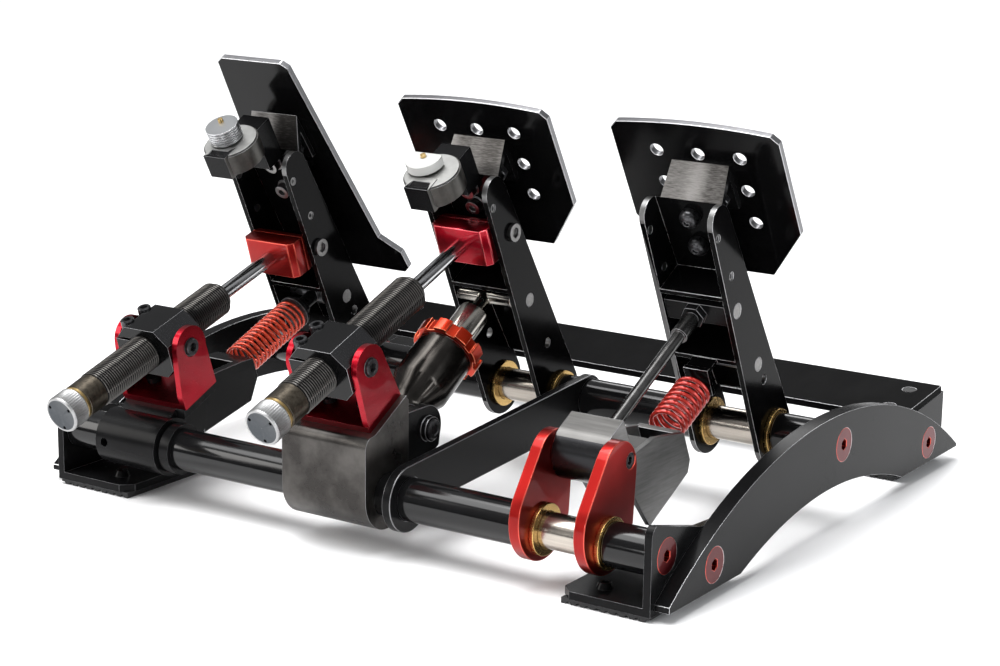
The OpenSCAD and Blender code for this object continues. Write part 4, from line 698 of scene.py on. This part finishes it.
# Screw heads.
# Turned socket heads with hexagon sockets on the forks, clamps and clevis.
def socket_head(name, width, height, flats, at, towards, material, body, round_top=0.0004):
    """A round head with a hexagon socket, standing at a place and facing a direction."""
    around, grid = 48, []
    for r, z in ((width / 2, 0.0), (width / 2, height - round_top), (width / 2 - round_top, height)):
        grid.append([(r * math.cos(2 * math.pi * k / around), r * math.sin(2 * math.pi * k / around), z)
                     for k in range(around)])
    for share, z in ((1.04, height), (1.0, height - 0.0002), (0.97, height * 0.35), (0.02, height * 0.28)):
        ring = []
        for k in range(around):
            a = 2 * math.pi * k / around
            r = share * flats / 2 / math.cos((a % (math.pi / 3)) - math.pi / 6)
            ring.append((r * math.cos(a), r * math.sin(a), z))
        grid.append(ring)
    piece = shell(name, grid, material)
    bpy.ops.object.select_all(action="DESELECT")
    piece.select_set(True)
    bpy.context.view_layer.objects.active = piece
    bpy.ops.object.shade_smooth_by_angle(angle=math.radians(35))
    turn = Vector((0, 0, 1)).rotation_difference(Vector(towards)).to_matrix().to_4x4()
    return placed(piece, Matrix.Translation(at) @ turn, body)


for name, pivot, slope, reach in dampers:
    there = climbing(pivot, slope, arm_x[name])
    direction = there.to_3x3()
    for side in (-1, 1):
        socket_head(f"{name}_trunnion_head_{'left' if side < 0 else 'right'}", 0.0092, 0.0030, 0.0045,
                    there @ Vector((side * 0.0205, 0, -reach)), (side, 0, 0), black_oxide, name + "_damper")
    for i, along in enumerate((-0.007, 0.007)):
        socket_head(f"{name}_clamp_screw_{i + 1}", 0.0074, 0.0052, 0.0038,
                    there @ Vector((0.0128, 0.0100, along - reach)), direction @ Vector((0, 1, 0)),
                    black_oxide, name + "_damper")
cup_pivot = (-0.041 + set_y, 0.0534)
for side in (-1, 1):
    socket_head(f"clevis_head_{'left' if side < 0 else 'right'}", 0.0104, 0.0016, 0.0056,
                (side * 0.0239, cup_pivot[0], cup_pivot[1]), (side, 0, 0), black_oxide, "base")


# Springs.
# Orange-red coil springs: the throttle's is pressed together, the clutch's is pulled out by its hooks.
def spring_paint(name, bright, dark):
    made = Finish(name, Metallic=0.55, Coat_Weight=0.9, Coat_Roughness=0.05)
    scuff = made.noise(700.0, 3.0)
    return made.set(Base_Color=made.blend(scuff.limited(0.55, 1.0), bright + (1,), dark + (1,)),
                    Roughness=scuff * 0.06 + 0.20)


orange_spring = spring_paint("orange_spring", (0.66, 0.050, 0.010), (0.40, 0.022, 0.008))
red_spring = spring_paint("red_spring", (0.52, 0.022, 0.012), (0.30, 0.010, 0.008))


def wire_tube(name, path, wire, material, around=12):
    """A round wire along a path, with its rings carried along without twist."""
    side, grid = Vector((1, 0, 0)), []
    for i, p in enumerate(path):
        if i in (0, len(path) - 1):
            ahead = Vector((0, 0, 1))
        else:
            ahead = (path[i + 1] - path[i - 1]).normalized()
        side = (side - ahead * side.dot(ahead)).normalized()
        other = ahead.cross(side)
        turns = [2 * math.pi * k / around for k in range(around)]
        grid.append([p + wire / 2 * (math.cos(a) * side + math.sin(a) * other) for a in turns])
    return shell(name, grid, material)


def curls(r, z0, z1, count, start):
    """The path of a number of turns from one height to another."""
    a_turn = 28
    steps = a_turn * count
    turns = [math.radians(start) + 2 * math.pi * i / a_turn for i in range(steps + 1)]
    return [Vector((r * math.cos(a), r * math.sin(a), z0 + (z1 - z0) * i / steps))
            for i, a in enumerate(turns)]


coil_d, throttle_wire, throttle_length = 0.0195, 0.0017, 0.054
r = (coil_d - throttle_wire) / 2
pressed = [Vector((0, -r, 0)), Vector((0, -r, 0.0010))] + curls(r, 0.0017, 0.0523, 14, -90) \
    + [Vector((0, -r, 0.0530)), Vector((0, -r, throttle_length))]
seat = (-0.074 + set_y, 0.0572)
there = climbing(seat, 21.6, arm_x["throttle"])
spring = wire_tube("throttle_coil", pressed, throttle_wire, orange_spring)
spring.data.transform(there)
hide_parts("throttle_spring")
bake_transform(spring)

clutch_wire, clutch_length = 0.0023, 0.041
r = (coil_d - clutch_wire) / 2
hook = ((0.0, 0.0), (0.0, 0.0010), (-0.2, 0.0024), (-0.55, 0.0039))
pulled = [Vector((0, r * share, z)) for share, z in hook] \
    + curls(r, 0.0049, 0.0361, 8, -45) \
    + [Vector((0, r * share, z)) for share, z in ((-0.55, 0.0371), (-0.2, 0.0386), (0.0, 0.0400),
                                                  (0.0, clutch_length))]
seat = (-0.0848 + set_y, 0.060)
there = climbing(seat, 25.6, arm_x["clutch"])
spring = wire_tube("clutch_coil", pulled, clutch_wire, red_spring)
spring.data.transform(there)
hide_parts("clutch_spring")
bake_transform(spring)
